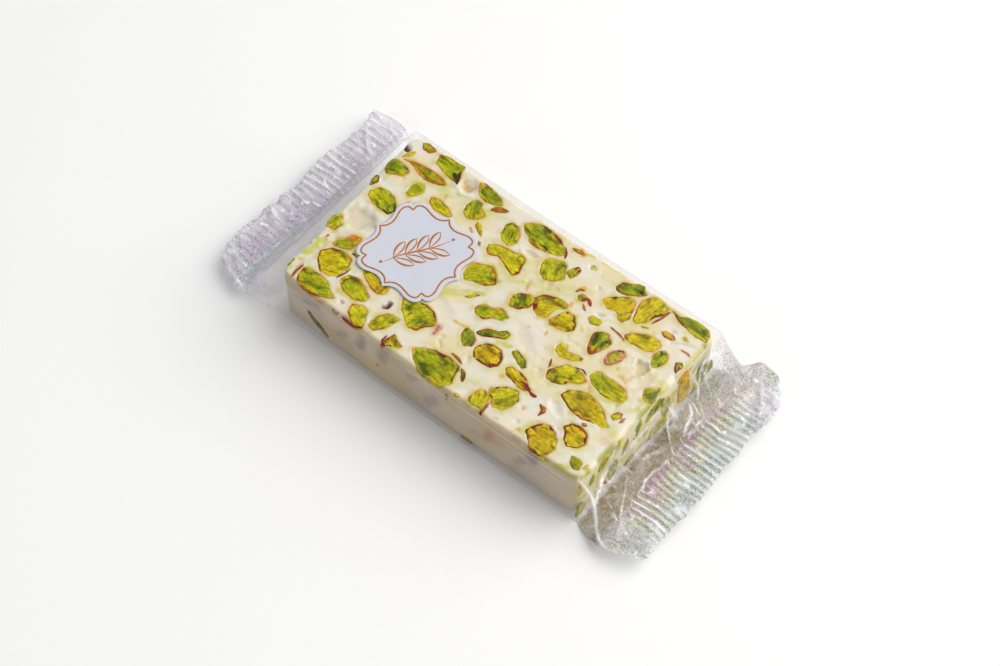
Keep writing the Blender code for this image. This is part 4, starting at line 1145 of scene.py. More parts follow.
# %% Nuts in the walls
# Each wall is a plane of two directions and a height over it. The first value of a row is its
# ground, the second turns the plane's points back into x, y, z.
WALLS = {
    "front": (lambda a, b: BAR_WIDTH / 2 - BAR_BOW * (2 * a / BAR_LENGTH) ** 2,
              lambda p: np.column_stack([p[:, 0], -p[:, 2], p[:, 1]])),
    "back": (lambda a, b: BAR_WIDTH / 2 + BAR_BOW * (2 * a / BAR_LENGTH) ** 2,
             lambda p: np.column_stack([-p[:, 0], p[:, 2], p[:, 1]])),
    "left": (lambda a, b: BAR_LENGTH / 2 - BAR_SKEW * (1 + 2 * a / BAR_WIDTH) / 2,
             lambda p: np.column_stack([-p[:, 2], -p[:, 0], p[:, 1]])),
    "right": (end_ground, from_end_plane),
}
WALL_NUTS = {
    "front": (
        (strip_outline((-36.2, 8.2, -34.2, 6.2, -32.4, 5, -29.8, 2.5), 2.5),
         (-40, 0, 0, (0, 360, 0.9, "teal"))),
        ((11.7, 0.9, 12.4, 2.1, 14.6, 2.2, 15.5, 1.2, 14.8, 0.6), (5, 0.2, 0.5)),
        ((7.3, 13.4, 7.4, 15.6, 7.9, 15.7, 8, 13.4), (90, 0.3, 0.3)),
        ((-14.3, 6.2, -14, 6.9, -13.6, 6.5), (0, 0.5, 0.5, (0, 360, 0.5, "crimson"))),
    ),
    "right": (
        ((-26.2, 1.2, -25.6, 4.4, -23.6, 5.2, -22.4, 3, -23.6, 1), (20, 0.8, 1.2)),
        ((-18.6, 11.6, -17.9, 15, -15.4, 15.9, -13.6, 13.9, -15.6, 11.4),
         (10, 1.3, 1.7, (200, 300, 0.5, "rust"))),
        ((-1, 10.6, 0.4, 14.9, 4.4, 15.5, 6.6, 13.4, 3.6, 10.6), (5, 1, 0.6)),
        ((2, 5.4, 2.6, 6.9, 4.4, 7, 4.9, 5.7), (5, 1.8, 1.6)),
        ((17.6, 0.8, 18.6, 4, 22, 4.4, 23.9, 2.2, 21.8, 0.7), (0, 1.1, 1.5)),
        ((-12.2, 13, -11.3, 15.9, -9.7, 15.7, -9.9, 13.4), (80, 1.6, 1.8)),
        ((1, 0.6, 1.6, 4.4, 4.4, 5.6, 7.9, 4.6, 8.6, 0.7), (5, 1.3, 1.8, (30, 150, 0.5, "amber"))),
        ((-8.1, 0.6, -7.4, 2.7, -4.9, 3.1, -3.9, 0.8), (5, 0.9, 1.2)),
        ((-9.6, 7.4, -9, 10.8, -7.4, 13.2, -6.6, 10.6, -7.9, 7.8), (75, 0.6, 0.9)),
        ((-5.4, 9.1, -4.6, 13.6, -2.6, 15.6, -1.9, 12.5, -3.6, 9.2),
         (65, 0.8, 1, (100, 200, 0.4, "brown"))),
        ((-1.6, 4.6, -0.9, 6.6, 0.6, 6.9, 0.9, 5.2), (20, 1.2, 1.4)),
        ((-21.8, 9.2, -21.4, 12.6, -20.2, 13.6, -19.3, 11.4, -19.9, 9.4), (80, 0.4, 0.6)),
        ((-25.4, 9.8, -25.1, 12.8, -24.3, 13.3, -23.8, 10.6), (80, 2, 2.1)),
        ((11.2, 13.1, 12.2, 15.2, 14.9, 15.4, 15.5, 13.6), (5, 2.8, 2.8, (0, 360, 0.4, "orange"))),
        ((-16.2, 3.2, -15.3, 6, -13.4, 6.8, -12.4, 4.6, -13.9, 2.7),
         (30, 1.6, 1.9, (150, 260, 0.5, "rust"))),
        ((24.2, 2.2, 24.6, 5.2, 25.9, 6.3, 26.4, 3.2), (80, 1.4, 1.2)),
    ),
    "back": (
        ((-34.1, 3.2, -33, 6.4, -29.4, 7.3, -26.8, 5.2, -29.1, 2.9),
         (10, 1.4, 1, (20, 150, 0.4, "amber"))),
        ((-12.3, 8.4, -10.9, 11.6, -7.9, 12, -7.1, 9.4, -9.4, 7.6),
         (20, 0.7, 1.3, (200, 320, 0.5, "rust"))),
        ((4.2, 2.4, 5.1, 4.9, 8.8, 5.3, 10.9, 3.5, 8, 1.9), (0, 1.6, 1.9)),
        ((19.6, 9.1, 21.2, 11.9, 24.1, 11.6, 25.2, 9, 22.3, 7.7),
         (0, 0.4, 0.8, (60, 200, 0.5, "brown"))),
        ((33, 4.1, 34.1, 6.9, 36.4, 7.2, 37.6, 4.8, 35.4, 3.1),
         (10, 2.4, 2, (0, 150, 0.4, "crimson"))),
        ((41, 11.2, 41.8, 13.4, 43.6, 12.9, 43.3, 10.9), (30, 1.2, 1)),
    ),
    "left": (
        ((-19.3, 4.4, -18.2, 7.9, -14.9, 8.6, -13.1, 6.1, -15.8, 3.7),
         (10, 1.1, 1.6, (10, 130, 0.4, "amber"))),
        ((-4.4, 8.6, -3.1, 11.9, -0.2, 12.4, 0.9, 9.9, -1.8, 7.9),
         (20, 0.6, 0.9, (180, 300, 0.5, "rust"))),
        ((9.3, 2.8, 10.4, 5.6, 13.7, 6.2, 15.6, 4.2, 12.6, 2.2), (5, 1.7, 2)),
        ((19.1, 9.9, 20, 12.2, 22.3, 12, 22.6, 10), (15, 2.5, 2.1, (0, 360, 0.35, "brown"))),
    ),
}
for wall, rows_of_wall in WALL_NUTS.items():
    ground, to_space = WALLS[wall]
    pieces = [small_piece(corners, look, 4000 + 100 * len(wall) + 10 * k, ground, 0.24)
              for k, (corners, look) in enumerate(rows_of_wall)]
    points, faces, colour, skin, spread = joined(pieces)
    add_piece(f"nuts_of_{wall}_wall", to_space(points), faces, KERNEL["pistachio_dark"],
              "pistachio_dark", colour=colour, skin=skin, uv=spread)
    print(wall, "wall:", len(rows_of_wall), "nuts")

# %% [markdown]
# ## The clear wrapper
# A flow wrap is one sheet of thin polypropylene made into a tube, with a bar pushed in and both
# ends crushed shut between heated jaws. The jaws leave ribs about 2 mm apart and a wavy cut edge.
# Between the bar and the seals the film is a tent with sharp folds where it was gathered. The
# whole wrapper is one closed surface: a section across the bar, carried along it, whose four
# corners move from the bar's edges to the flat seals. Cloth simulation could make the folds too,
# but these folds lie at known places, so they are raised along paths.

# %% Sections along the wrapper
# x, then y and z of the front foot, front shoulder, back shoulder and back foot
FILM_TOP = BAR_TOP + 0.34
FILM_LEFT, SLEEVE_LEFT, SLEEVE_RIGHT, FILM_RIGHT = -67.2, -47.2, 47.1, 66.4
STATIONS = np.array((
    (FILM_LEFT, -25.4, 3.6, -21.5, 3.85, 28.5, 3.85, 33.4, 3.6),
    (-64.5, -27.6, 3.6, -22.5, 3.85, 28.8, 3.85, 34, 3.6),
    (-60, -29.2, 3.5, -24, 3.85, 29, 3.85, 34.3, 3.6),
    (-56.6, -29.4, 3.2, -24.6, 4.1, 28.8, 4.2, 33.9, 3.4),
    (-51.5, -28.2, 1.2, -25.9, 10.2, 27.6, 10.2, 30.6, 1.4),
    (SLEEVE_LEFT, -26.6, 0, -26.7, FILM_TOP, 27.6, FILM_TOP, 27.9, 0),
    (0, -26.8, 0, -26.75, FILM_TOP, 27.2, FILM_TOP, 27.6, 0),
    (SLEEVE_RIGHT, -26.5, 0, -26.4, FILM_TOP, 27.6, FILM_TOP, 27.9, 0),
    (51, -28.2, 1, -25.6, 10.6, 27.8, 10.4, 31, 1.8),
    (55, -29.5, 3, -24.6, 4.2, 29, 4.3, 34.2, 3.5),
    (60, -29.3, 3.5, -24, 3.85, 29, 3.85, 34.4, 3.6),
    (64, -28, 3.6, -23, 3.85, 28.8, 3.85, 34, 3.6),
    (FILM_RIGHT, -26.6, 3.6, -22, 3.85, 28.5, 3.85, 33.5, 3.6),
))
END_STEP, SLEEVE_ROWS, WALL_COLUMNS, TOP_COLUMNS = 0.42, 44, 36, 210
SEAL_GAP, STRIP = 0.3, 0.085
# y and x of the cut edges, and of the lines where the ribs begin
CUT_LEFT = (-29, -64, -26.5, -65, -22.5, -66.6, -14, -67.1, -8, -66.9, -2.8, -66.4,
            1, -66.2, 4.8, -65.5, 8, -66.6, 12.4, -66.9, 19, -66.3, 24, -65.8,
            27.2, -65.2, 30, -66.2, 34, -66.9)
CUT_RIGHT = (-29, 64.4, -26.5, 66.2, -20, 66, -15.7, 65.9, -5.6, 66.3, 0, 65.9, 5, 65.5,
             12.3, 65.8, 16.5, 65, 20.2, 66, 27.9, 65.4, 33.2, 60.9, 35.5, 57.5)
RIBS_LEFT = (-29, -57.8, -19, -57.3, -10, -56.3, 0, -55.6, 20, -55.4, 34, -55.8)
RIBS_RIGHT = (-29, 56.5, -20, 55.4, -14.6, 54.6, -9.9, 54.2, -0.8, 54.8, 0.5, 55.3, 6, 54.3,
              12, 54.5, 18, 55, 24, 56, 34, 57)
# how strongly the jaws pressed along y
PRESS_LEFT = (-29, 0.15, -24, 0.45, -16, 0.6, -6, 0.55, -0.5, 0.5, 1.5, 1, 15, 1, 18, 0.5,
              26, 0.85, 34, 0.35)
PRESS_RIGHT = (-29, 0.05, -22, 0.15, -19, 0.85, 16, 1, 20, 0.7, 23, 0.15, 34, 0.1)
RIB_PITCH_LEFT, RIB_PITCH_RIGHT, RIB_HEIGHT = 2.0, 1.75, 0.32


def along_table(table, y):
    """A value read off a table of y, value, y, value, straight between its points."""
    table = np.reshape(table, (-1, 2))
    return np.interp(y, table[:, 0], table[:, 1])


def path_distance(x, y, path):
    """Distance to the nearest part of an open path, and how far along it, from 0 to 1."""
    path = np.reshape(path, (-1, 2))
    best, where = np.full(np.shape(x), 99.0), np.zeros(np.shape(x))
    for number, ((x0, y0), (x1, y1)) in enumerate(zip(path, path[1:])):
        ax, ay = x1 - x0, y1 - y0
        share = np.clip(((x - x0) * ax + (y - y0) * ay) / (ax * ax + ay * ay), 0, 1)
        away = np.hypot(x - x0 - share * ax, y - y0 - share * ay)
        where = np.where(away < best, (number + share) / (len(path) - 1), where)
        best = np.minimum(best, away)
    return best, where


rows_x = np.concatenate([np.arange(FILM_LEFT, SLEEVE_LEFT - 0.1, END_STEP),
                         np.linspace(SLEEVE_LEFT, SLEEVE_RIGHT, SLEEVE_ROWS),
                         np.arange(SLEEVE_RIGHT + END_STEP, FILM_RIGHT + 0.1, END_STEP)])
section = np.array([np.interp(rows_x, STATIONS[:, 0], STATIONS[:, k]) for k in range(1, 9)])
corners_y, corners_z = section[0::2].T, section[1::2].T
column = np.arange(2 * WALL_COLUMNS + TOP_COLUMNS + 1)
corner_columns = [0, WALL_COLUMNS, WALL_COLUMNS + TOP_COLUMNS, column[-1]]


def carried(corner_values):
    """Every row's values at its four corners spread over the columns between them, then averaged
    with their neighbours four times, which rounds the shoulders."""
    spread = np.array([np.interp(column, corner_columns, row) for row in corner_values])
    for _ in range(4):
        spread[:, 1:-1] = (spread[:, :-2] + 2 * spread[:, 1:-1] + spread[:, 2:]) / 4
    return spread


share = np.interp(column, corner_columns, (0, STRIP, 1 - STRIP, 1))
over_x = np.repeat(rows_x[:, None], len(column), axis=1)
over_y, over_z = carried(corners_y), carried(corners_z)
under_x = over_x.copy()
under_y = corners_y[:, :1] + (corners_y[:, 3:] - corners_y[:, :1]) * share
under_z = corners_z[:, :1] + (corners_z[:, 3:] - corners_z[:, :1]) * share
under_z -= SEAL_GAP / 2 * soft_step(47.5, 56, abs(under_x)) * np.sin(np.pi * share) ** 0.25
print("wrapper grid:", over_x.shape, "over and as many under")

# %% Ribs, folds, and painted highlights on the creases
# path in x and y, width, height, and how white the painted highlight along the crease is
FOLDS = (
    ((47.4, -25.6, 49.5, -24.8, 51, -25.2, 53.3, -27.2, 56.4, -29.4), 0.52, 0.6, 1.25),
    ((48.9, -18.6, 49.6, -21.4, 50.4, -23.8, 51.2, -25.2), 0.45, 0.5, 1.1),
    ((48.2, 7, 48.9, 2, 49.4, -8, 49, -19), 0.7, 0.2, 0.3),
    ((48, 7.5, 48.3, 2, 48.7, -6, 49.1, -14), 0.26, 0.2, 0.55),
    ((50.2, -1.5, 49.3, -6, 49.2, -11, 50.2, -17), 0.3, 0.25, 0.4),
    ((49, 5.5, 50.8, 2, 52.4, 1.2, 53.6, 0.4), 0.35, 0.3, 0.6),
    ((46.9, -12, 47.9, -15.2, 48.9, -18.6), 0.35, 0.3, 0.5),
    ((51.9, -14.6, 53.1, -16.4, 54.6, -19.5, 56.1, -22.3, 58, -25.9), 0.4, 0.4, 0.8),
    ((48.3, -17.9, 50.1, -14.2, 52, -11.9, 53.4, -11.2), 0.4, 0.4, 0.45),
    ((51.5, -9.1, 52.1, -5.1, 53.4, -1.3), 0.4, 0.4, 0.55),
    ((49.4, -6.5, 51.5, -3.4, 53.4, -1.3), 0.35, 0.25, 0.35),
    ((54.9, -13.8, 54.3, -9.8, 54.5, -5.3, 54.7, -0.9), 0.38, 0.45, 0.95),
    ((53.7, 0.4, 54.6, 0.1, 55.4, 0.4), 0.35, 0.3, 1),
    ((55.1, 1.1, 54.5, 6, 54.4, 10.2, 54.8, 12.6), 0.38, 0.4, 0.75),
    ((50.8, 10.5, 52.5, 9.2, 53.9, 4.6), 0.42, 0.6, 1),
    ((50.6, 11.4, 52.9, 11, 54.6, 12.4), 0.35, 0.4, 0.7),
    ((48.3, 14.7, 50.1, 14.9, 51.5, 13, 54.4, 12.4), 0.45, 0.4, 0.7),
    ((50.1, 14.9, 48.9, 17.2, 48.3, 19.1, 48.7, 22.7, 49.7, 27.4, 51, 30.9), 0.4, 0.5, 0.85),
    ((51, 30.9, 53.2, 33.4, 56.2, 34.4, 59.5, 33.6), 0.45, 0.35, 0.7),
    ((53.6, 18.2, 52.7, 22.5, 52.3, 23.9, 52.8, 24.9, 54.1, 24.7, 55.2, 22.9), 0.38, 0.5, 0.7),
    ((54.1, 24.9, 55.5, 22.8, 57.4, 23), 0.38, 0.45, 0.9),
    ((57.5, 30.5, 60, 27, 62.5, 24.2), 0.7, 0.25, 0.3),
    ((61.3, -18.3, 62.6, -17.2, 64.6, -18.2), 0.7, 0.4, 1),
    ((62.4, -12.6, 63.6, -11.6, 64.8, -8.6), 0.6, 0.4, 0.8),
    ((62.5, -24, 64, -21), 0.5, 0.3, 0.6),
    ((-66.2, -5.7, -64.5, -7.9, -61.1, -9.1, -57.6, -10), 0.75, 0.5, 0.9),
    ((-66.4, -16.3, -65.5, -18.3, -64.2, -19), 0.6, 0.4, 0.8),
    ((-65.8, -21.3, -62.2, -23.4, -59.5, -24.8), 0.8, 0.45, 0.75),
    ((-65.6, -24.8, -62.5, -26.2, -59, -27.8), 0.7, 0.3, 0.6),
    ((-65.6, 1, -63, 2, -58, 1.3, -54.5, 0.6), 0.45, 0.4, 0.8),
    ((-64.6, 17.2, -60, 15.4, -55.6, 13.6), 0.5, 0.35, 0.5),
    ((-64.5, 27.6, -61.5, 24.2, -55.8, 19.9), 0.6, 0.5, 0.85),
    ((-66.2, 31.9, -59.8, 31.2, -55.6, 29.4), 0.55, 0.4, 0.6),
    ((-65, 22.6, -60.4, 21.4), 0.6, 0.35, 0.7),
    ((-58.2, -28.4, -57.6, -19.4, -56.6, -10, -55.9, 0, -55.6, 12, -55.6, 26), 0.4, 0.3, 0.8),
    ((-57.2, -27, -54.6, -23.6, -50.8, -21.6, -48, -18), 0.35, 0.35, 0.6),
    ((-55.8, -16, -52, -12, -48.6, -11), 0.35, 0.25, 0.4),
    ((-55.4, 7, -52.4, 9, -48.8, 8), 0.3, 0.25, 0.4),
    ((-55, 28.6, -51.6, 25.4, -48, 25.8), 0.4, 0.35, 0.7),
    ((-57.6, -28.6, -53.5, -27.2, -50, -25.8, -47.4, -25.4), 0.45, 0.4, 0.5),
    ((-56.4, -22, -52.5, -21.4, -48.6, -23.4), 0.4, 0.3, 0.35),
)


def rib_strength(x, y):
    """How much the ribs stand out: none before the line where the jaws begin, and after it as
    hard as they pressed there."""
    left = soft_step(0.2, -0.9, x - along_table(RIBS_LEFT, y)) * along_table(PRESS_LEFT, y)
    right = soft_step(-0.2, 0.9, x - along_table(RIBS_RIGHT, y)) * along_table(PRESS_RIGHT, y)
    smooth_patch = np.exp(-np.hypot((x - 64) / 1.6, (y + 9) / 3.4) ** 4)
    return np.where(x < 0, left, right) * (1 - smooth_patch)


def rib_wave(x, y):
    """sin(p) + sin(2p + 0.8) / 4, where p turns once per rib. A slow noise leans the ribs."""
    pitch = np.where(x < 0, RIB_PITCH_LEFT, RIB_PITCH_RIGHT)
    phase = 2 * np.pi * (y + 0.5 * noise(x, y, 6, 80)) / pitch
    return np.sin(phase) + 0.25 * np.sin(2 * phase + 0.8)


def end_relief(x, y):
    """Height that both sheets of an end share: ribs, slow waves, and a fluttering cut edge."""
    outside = soft_step(53, 58, abs(x))
    waves = 0.45 * noise(x, y, 9, 81) + 0.16 * noise(x, y, 2.6, 82)
    flutter = 0.55 * noise(x * 0.3, y, 2.2, 83) * soft_step(60, 66, abs(x))
    ribs = RIB_HEIGHT * rib_strength(x, y) * rib_wave(x, y) * (0.85 + 0.3 * noise(x, y, 3, 84))
    return outside * (waves + flutter) + ribs


def tent_relief(x, y):
    """Height of the upper sheet alone: it sags between the bar and the seal, with soft dents."""
    between = soft_step(47.2, 49, abs(x)) * soft_step(57, 54, abs(x))
    return between * (-0.35 + 0.4 * noise(x, y, 3.5, 85) + 0.2 * noise(x, y, 1.5, 86))


for sheet_x, sheet_y, sheet_z, upper in ((over_x, over_y, over_z, True),
                                         (under_x, under_y, under_z, False)):
    reach = soft_step(54, 65.5, abs(sheet_x))
    cut = np.where(sheet_x < 0, along_table(CUT_LEFT, sheet_y) - FILM_LEFT,
                   along_table(CUT_RIGHT, sheet_y) - FILM_RIGHT)
    for height, size, seed in ((0.3, 0.9, 87), (0.35, 2.6, 100)):
        cut = cut + height * noise(sheet_y, sheet_y * 0, size, seed)
    sheet_x += reach * cut
    sheet_z += end_relief(sheet_x, sheet_y)
    if upper:
        sheet_z += tent_relief(sheet_x, sheet_y)

crease = np.zeros(over_x.shape)
near_x = over_x + 0.2 * noise(over_x, over_y, 1.7, 88)
near_y = over_y + 0.2 * noise(over_x, over_y, 1.7, 89)
gleam = 0.85 + 0.45 * noise(over_x, over_y, 1.3, 103)
for path, width, height, white in FOLDS:
    away, where = path_distance(near_x, near_y, path)
    taper = np.sin(np.pi * np.clip(where, 0.04, 0.96)) ** 0.35
    over_z += height * taper * bell(away / width)
    shine = white * taper * gleam * bell(away / (0.8 * width))
    crease = np.maximum(crease, np.clip(shine, 0, 0.97))
print("folds:", len(FOLDS), "; upper sheet from z", over_z.min().round(2), "to",
      over_z.max().round(2))

# %% Haze of the film, and painted sheen, highlights and shade
# fields of painted sheen and reflection in the film: x, y, reach in x and y, colour, strength
SHEENS = (
    (-61.5, -12, 5, 11, "#D9BCDE", 0.8), (-60.5, -24, 4, 5, "#B9B6D6", 0.5),
    (-57.6, -19, 0.9, 9, "#8FD9BC", 0.9), (-57, -9, 0.8, 5, "#A5D8CC", 0.6),
    (-62.5, 8, 5, 8, "#D3DEDC", 0.8), (-60, 20, 5, 5, "#E4D0D0", 0.6),
    (-61, 29, 5, 5, "#CDD3DE", 0.6),
    (-65.5, 5, 1.6, 9, "#E6ECF2", 0.6), (-52, -14, 3.2, 14, "#B3A4B8", 0.5),
    (-54.5, -25.5, 2, 2.5, "#C79BD8", 0.9),
    (-51, 10, 3, 18, "#C9C8CE", 0.4),
    (53.4, -17.5, 1.6, 2.6, "#DDB88E", 0.9), (52.6, -9.5, 1.3, 2.2, "#E2BE96", 0.8),
    (52.5, 27, 4, 5, "#C9B6BC", 0.8),
    (59, 31, 5, 4, "#BDB4BE", 0.7), (62.5, 27, 2.5, 2.5, "#D9A8E0", 0.7),
    (64, 30, 2, 3, "#A8D8E4", 0.6),
    (55.6, -7, 0.9, 9, "#DE8FD0", 0.95), (56.4, -14, 1.2, 4, "#D9A0D6", 0.6),
    (55.2, 15, 1, 5, "#E29AD6", 0.8),
    (58.5, -8, 2.2, 9, "#E3D98C", 0.6), (61.5, -3, 3, 9, "#B9DDB8", 0.4),
    (61, 12, 3.5, 7, "#A9D8CE", 0.55),
    (63, 24, 2.2, 5, "#B7A6DC", 0.6), (60, 27, 2.5, 4, "#CFC9D8", 0.4),
    (63.6, -9, 1.3, 3.2, "#AFC6DA", 0.9),
    (57, 25, 2.5, 5, "#D6C7A8", 0.35), (62.5, 20, 1.5, 2, "#9CCBD6", 0.6),
    (60, -24.5, 6, 4, "#AEADB2", 0.9),
    (-52.5, -24, 2.5, 3, "#C8B0CC", 0.7), (-50, -18, 1.6, 5, "#BEB4BC", 0.6),
    (-61, 29, 4, 4, "#E8F0F6", 0.7), (60, 33, 3, 1.5, "#A8AE58", 0.6),
)
# painted reflection and highlight on the ribs: what a crest shows from the inner lip out to the
# cut edge, then the colour of the troughs
PEARL = np.array([[linear(code) for code in row] for row in (
    ("#C4EADF", "#E4C8F2", "#EEDAF8", "#F8F8FE", "#FFFFFF", "#DCCCE6"),
    ("#F294D8", "#F8ECAA", "#E2F2CE", "#D8F2F0", "#FAFCFF", "#CAC4C4"),
)])


def sheen_field(x, y, sheen):
    """1 in the middle of a sheen, falling off as a bell over its reach in x and y."""
    return bell((x - sheen[0]) / sheen[2]) * bell((y - sheen[1]) / sheen[3])


def film_haze(x, y, on_wall):
    """How much of the light the film catches, from 0 for clear. The sleeve is clear, the tents
    are less so, and the seals are two hot-pressed sheets."""
    tent = soft_step(46.9, 48.5, abs(x))
    seal = rib_strength(x, y) * 0.14 + 0.47 + 0.12 * noise(x, y, 4, 90) + 0.05 * (x > 0)
    inside = soft_step(54, 57, abs(x))
    clearer = 0.07 + (x > 0) * (0.3 * soft_step(19, 27, y) + 0.15 * soft_step(-22, -27, y))
    for sheen in SHEENS:
        if abs(sheen[0]) < 56:
            clearer = clearer + 0.3 * sheen[5] * sheen_field(x, y, sheen)
    haze = tent * (clearer + 0.08 * noise(x, y, 3, 91)) * (1 - inside) + seal * inside
    return np.clip(haze + 0.002 + (0.02 + 0.2 * (y > 0)) * on_wall, 0, 1)


def film_colour(x, y):
    """Grey film with fields of painted sheen, and a pearly play of colours that follows the ribs as
    painted reflection: from one crest to the next the colour moves through a row of PEARL, lighter
    on the crests as painted highlight, more where the film is less worn. The tents' sides take a
    little of it."""
    colour = np.tile(linear("#EAE8E9"), (*x.shape, 1))
    end = (x > 0).astype(int)
    way = (abs(x) - 54.6) / 10.5 * 3.2 + 0.9 * noise(x, y, 2.6, 92) + 0.5 * noise(x, y * 2, 1.2, 97)
    way = np.clip(way, 0, 3.999)
    low = np.floor(way).astype(int)
    crest = mix(PEARL[end, low], PEARL[end, low + 1], way % 1)
    lit = soft_step(-0.5, 0.9, rib_wave(x, y) + 0.5 * noise(x / 2, y, 1.1, 98))
    pearl = mix(PEARL[end, np.full(low.shape, 5)], crest, lit)
    play = np.clip(rib_strength(x, y) * (0.75 + 0.4 * noise(x / 2, y, 2.6, 93)), 0, 1)
    fringe = np.where(x < 0, soft_step(48, 51, abs(x)), soft_step(54, 58, abs(x)))
    side = np.clip(fringe * (0.25 + 0.3 * noise(x, y, 1.3, 99)) * (1 - play), 0, 1)
    colour = mix(colour, crest, side)
    for sheen in SHEENS:
        field = sheen_field(x, y, sheen) * (0.8 + 0.3 * noise(x, y, 1.5, 94))
        colour = mix(colour, linear(sheen[4]), 0.8 * sheen[5] * field)
    return mix(colour, pearl, np.clip(play, 0, 1))


on_wall = np.zeros(over_x.shape)
on_wall[:, :WALL_COLUMNS] = on_wall[:, -WALL_COLUMNS:] = 1.0
on_wall *= abs(over_x) < -SLEEVE_LEFT
# painted highlights on the film over the front wall: a line along its top, one down near the right
# end, and a fainter one lower on the right half
fold_line = (over_y < 0) * (bell((over_z - 15.1 - 0.006 * over_x) / 0.22)
                            + bell((over_x - 44.3) / 0.35)
                            + 0.7 * bell((over_z - 12.8) / 0.2) * soft_step(10, 40, over_x))
crease = np.maximum(crease, 0.35 * on_wall * fold_line)
x, y = over_x, over_y
# painted highlights: glints on small flats of crumpled film, and on narrow crests of the ribs
sparkle = soft_step(0.5, 0.85, noise(x / 1.6, y, 0.75, 130)) * soft_step(51, 57, abs(x))
crest_line = soft_step(0.55, 1.05, rib_wave(x, y) + 0.25 * noise(x / 3, y, 1.2, 131))
crest_line = crest_line * rib_strength(x, y) * soft_step(-0.5, 0.4, noise(x / 3, y, 1.9, 132))
# painted light along the ribs nearest the cut edge, and in broad pools where the seal is bent
pool = soft_step(0.25, 0.75, noise(x, y, 3.4, 133)) * soft_step(57, 62, abs(x))
# painted highlights on thin wandering crumples in both tents
crumple = bell(noise(x, y, 2.6, 104) / 0.07) + 0.6 * bell(noise(x, y, 1.5, 105) / 0.09)
crumple = crumple * soft_step(47.6, 50, abs(x)) * soft_step(58, 55.5, abs(x))
crumple = crumple * soft_step(-0.4, 0.6, noise(x, y, 4.5, 106))
crease = np.maximum(crease, np.clip(0.5 * crumple, 0, 0.6))
# painted light: the silver panel of the left seal and the film behind it are brighter, and the
# crests brighter still there and on the right seal
panel = soft_step(0.3, 1.2, y) * soft_step(16.5, 15.3, y) * soft_step(-56, -57, x)
back_left = soft_step(16.5, 21, y) * soft_step(-56, -57, x)
crest_line = crest_line * (1 + 0.6 * panel + 0.4 * (x > 0))
glint = 0.9 * sparkle + crest_line + 0.5 * pool + 0.3 * panel + 0.16 * back_left
crease = np.maximum(crease, np.clip(glint, 0, 0.97))
haze = film_haze(over_x, over_y, on_wall)
under_haze = film_haze(under_x, under_y, 0.0) * 0.9
pearl, under_pearl = film_colour(over_x, over_y), film_colour(under_x, under_y)
# the crumpled lower film in the right tent: yellow-brown painted shade of the bar with the
# nuts' colour painted in as reflection, lighter towards the back and in blotches as painted light
shaded = soft_step(46, 48, under_x) * soft_step(56.5, 54.5, under_x)
under_haze = under_haze * (1 - shaded) + shaded * (0.8 + 0.25 * noise(under_x, under_y, 1.1, 95))
lit_back = soft_step(8, 14, under_y + 2 * noise(under_x, under_y, 3, 101))
blotches = 0.3 * soft_step(-0.2, 0.5, noise(under_x, under_y, 2.6, 102)) * (under_x > 49)
lit_back = np.maximum(lit_back, blotches)[..., None]
shade_tone = linear("#8A6E14") * (1 - lit_back) + linear("#DCD3CA") * lit_back
under_pearl = under_pearl + (shade_tone - under_pearl) * (
    shaded * (0.8 + 0.2 * noise(under_x, under_y, 0.9, 96)))[..., None]


def ring_of(over, under):
    """Rows of closed rings: over from front to back, then under from back to front. The sheets
    share the points where they meet."""
    return np.concatenate([over, under[:, -2:0:-1]], axis=1)


film_points = np.stack([ring_of(over, under) for over, under in (
    (over_x, under_x), (over_y, under_y), (over_z, under_z))], axis=-1)
film_points[..., 2] = np.maximum(film_points[..., 2], 0.0)
ring = film_points.shape[1]
tops = np.arange(1, len(column) - 2)
ends = []
for first, turn in ((0, 1), ((len(rows_x) - 1) * ring, -1)):
    zipped = np.stack([tops, tops + 1, ring - tops - 1, ring - tops], axis=-1)[:, ::turn] + first
    ends += [*zipped, np.array([0, 1, ring - 1])[::turn] + first,
             np.array([len(column) - 2, len(column) - 1, len(column)])[::turn] + first]
print("wrapper:", film_points[..., 0].size, "points; haze up to", haze.max().round(2))

# %% [markdown]
# Clear film mostly shows what is behind it. The shader lets light pass straight through, adds a
# mirror-like share that grows at grazing angles as it does on any plastic, and then covers part
# of that with haze, where the hot jaws have frosted the film. Haze has a fine grain of about half
# a millimetre. Creases, crumples, rib crests and bright pools are painted white as painted
# highlights.

# %% Film's finish and its mesh
film, tree = new_material("clear_polypropylene_film")
place = add_node(tree, "TexCoord").outputs["Object"]
tint = add_node(tree, "Attribute", attribute_name="colour")
haze_in = add_node(tree, "Attribute", attribute_name="haze").outputs["Fac"]
painted_highlight_in = add_node(tree, "Attribute", attribute_name="crease").outputs["Fac"]
GRAIN_MM = 0.45
grain = add_node(tree, "TexNoise", {"Vector": place}, Scale=1 / (GRAIN_MM * MM), Detail=2.5,
                 Roughness=0.7)
speck = add_node(tree, "MapRange", {"Value": grain}, From_Min=0.41, From_Max=0.6,
                 To_Min=0.48, To_Max=1.4)
speckled = add_node(tree, "VectorMath", {"Vector": tint, "Scale": speck},
                    operation="SCALE")
whitened = add_node(tree, "Mix", {0: painted_highlight_in, 6: speckled,
                                  7: rgba(linear("#FBFCFD"))}, data_type="RGBA")
fine = add_node(tree, "TexNoise", {"Vector": place}, Scale=1 / (1.1 * MM), Detail=2.0)
bump = add_node(tree, "Bump", {"Height": fine}, Strength=0.35, Distance=0.0003)
frosted = add_node(tree, "BsdfPrincipled", {"Base Color": whitened.outputs[2],
                                            "Normal": bump},
                   Roughness=0.25, IOR=1.49, Coat_Weight=0.6, Coat_Roughness=0.08)
through = add_node(tree, "BsdfTransparent")
mirror = add_node(tree, "BsdfGlossy", {"Normal": bump}, Roughness=0.06)
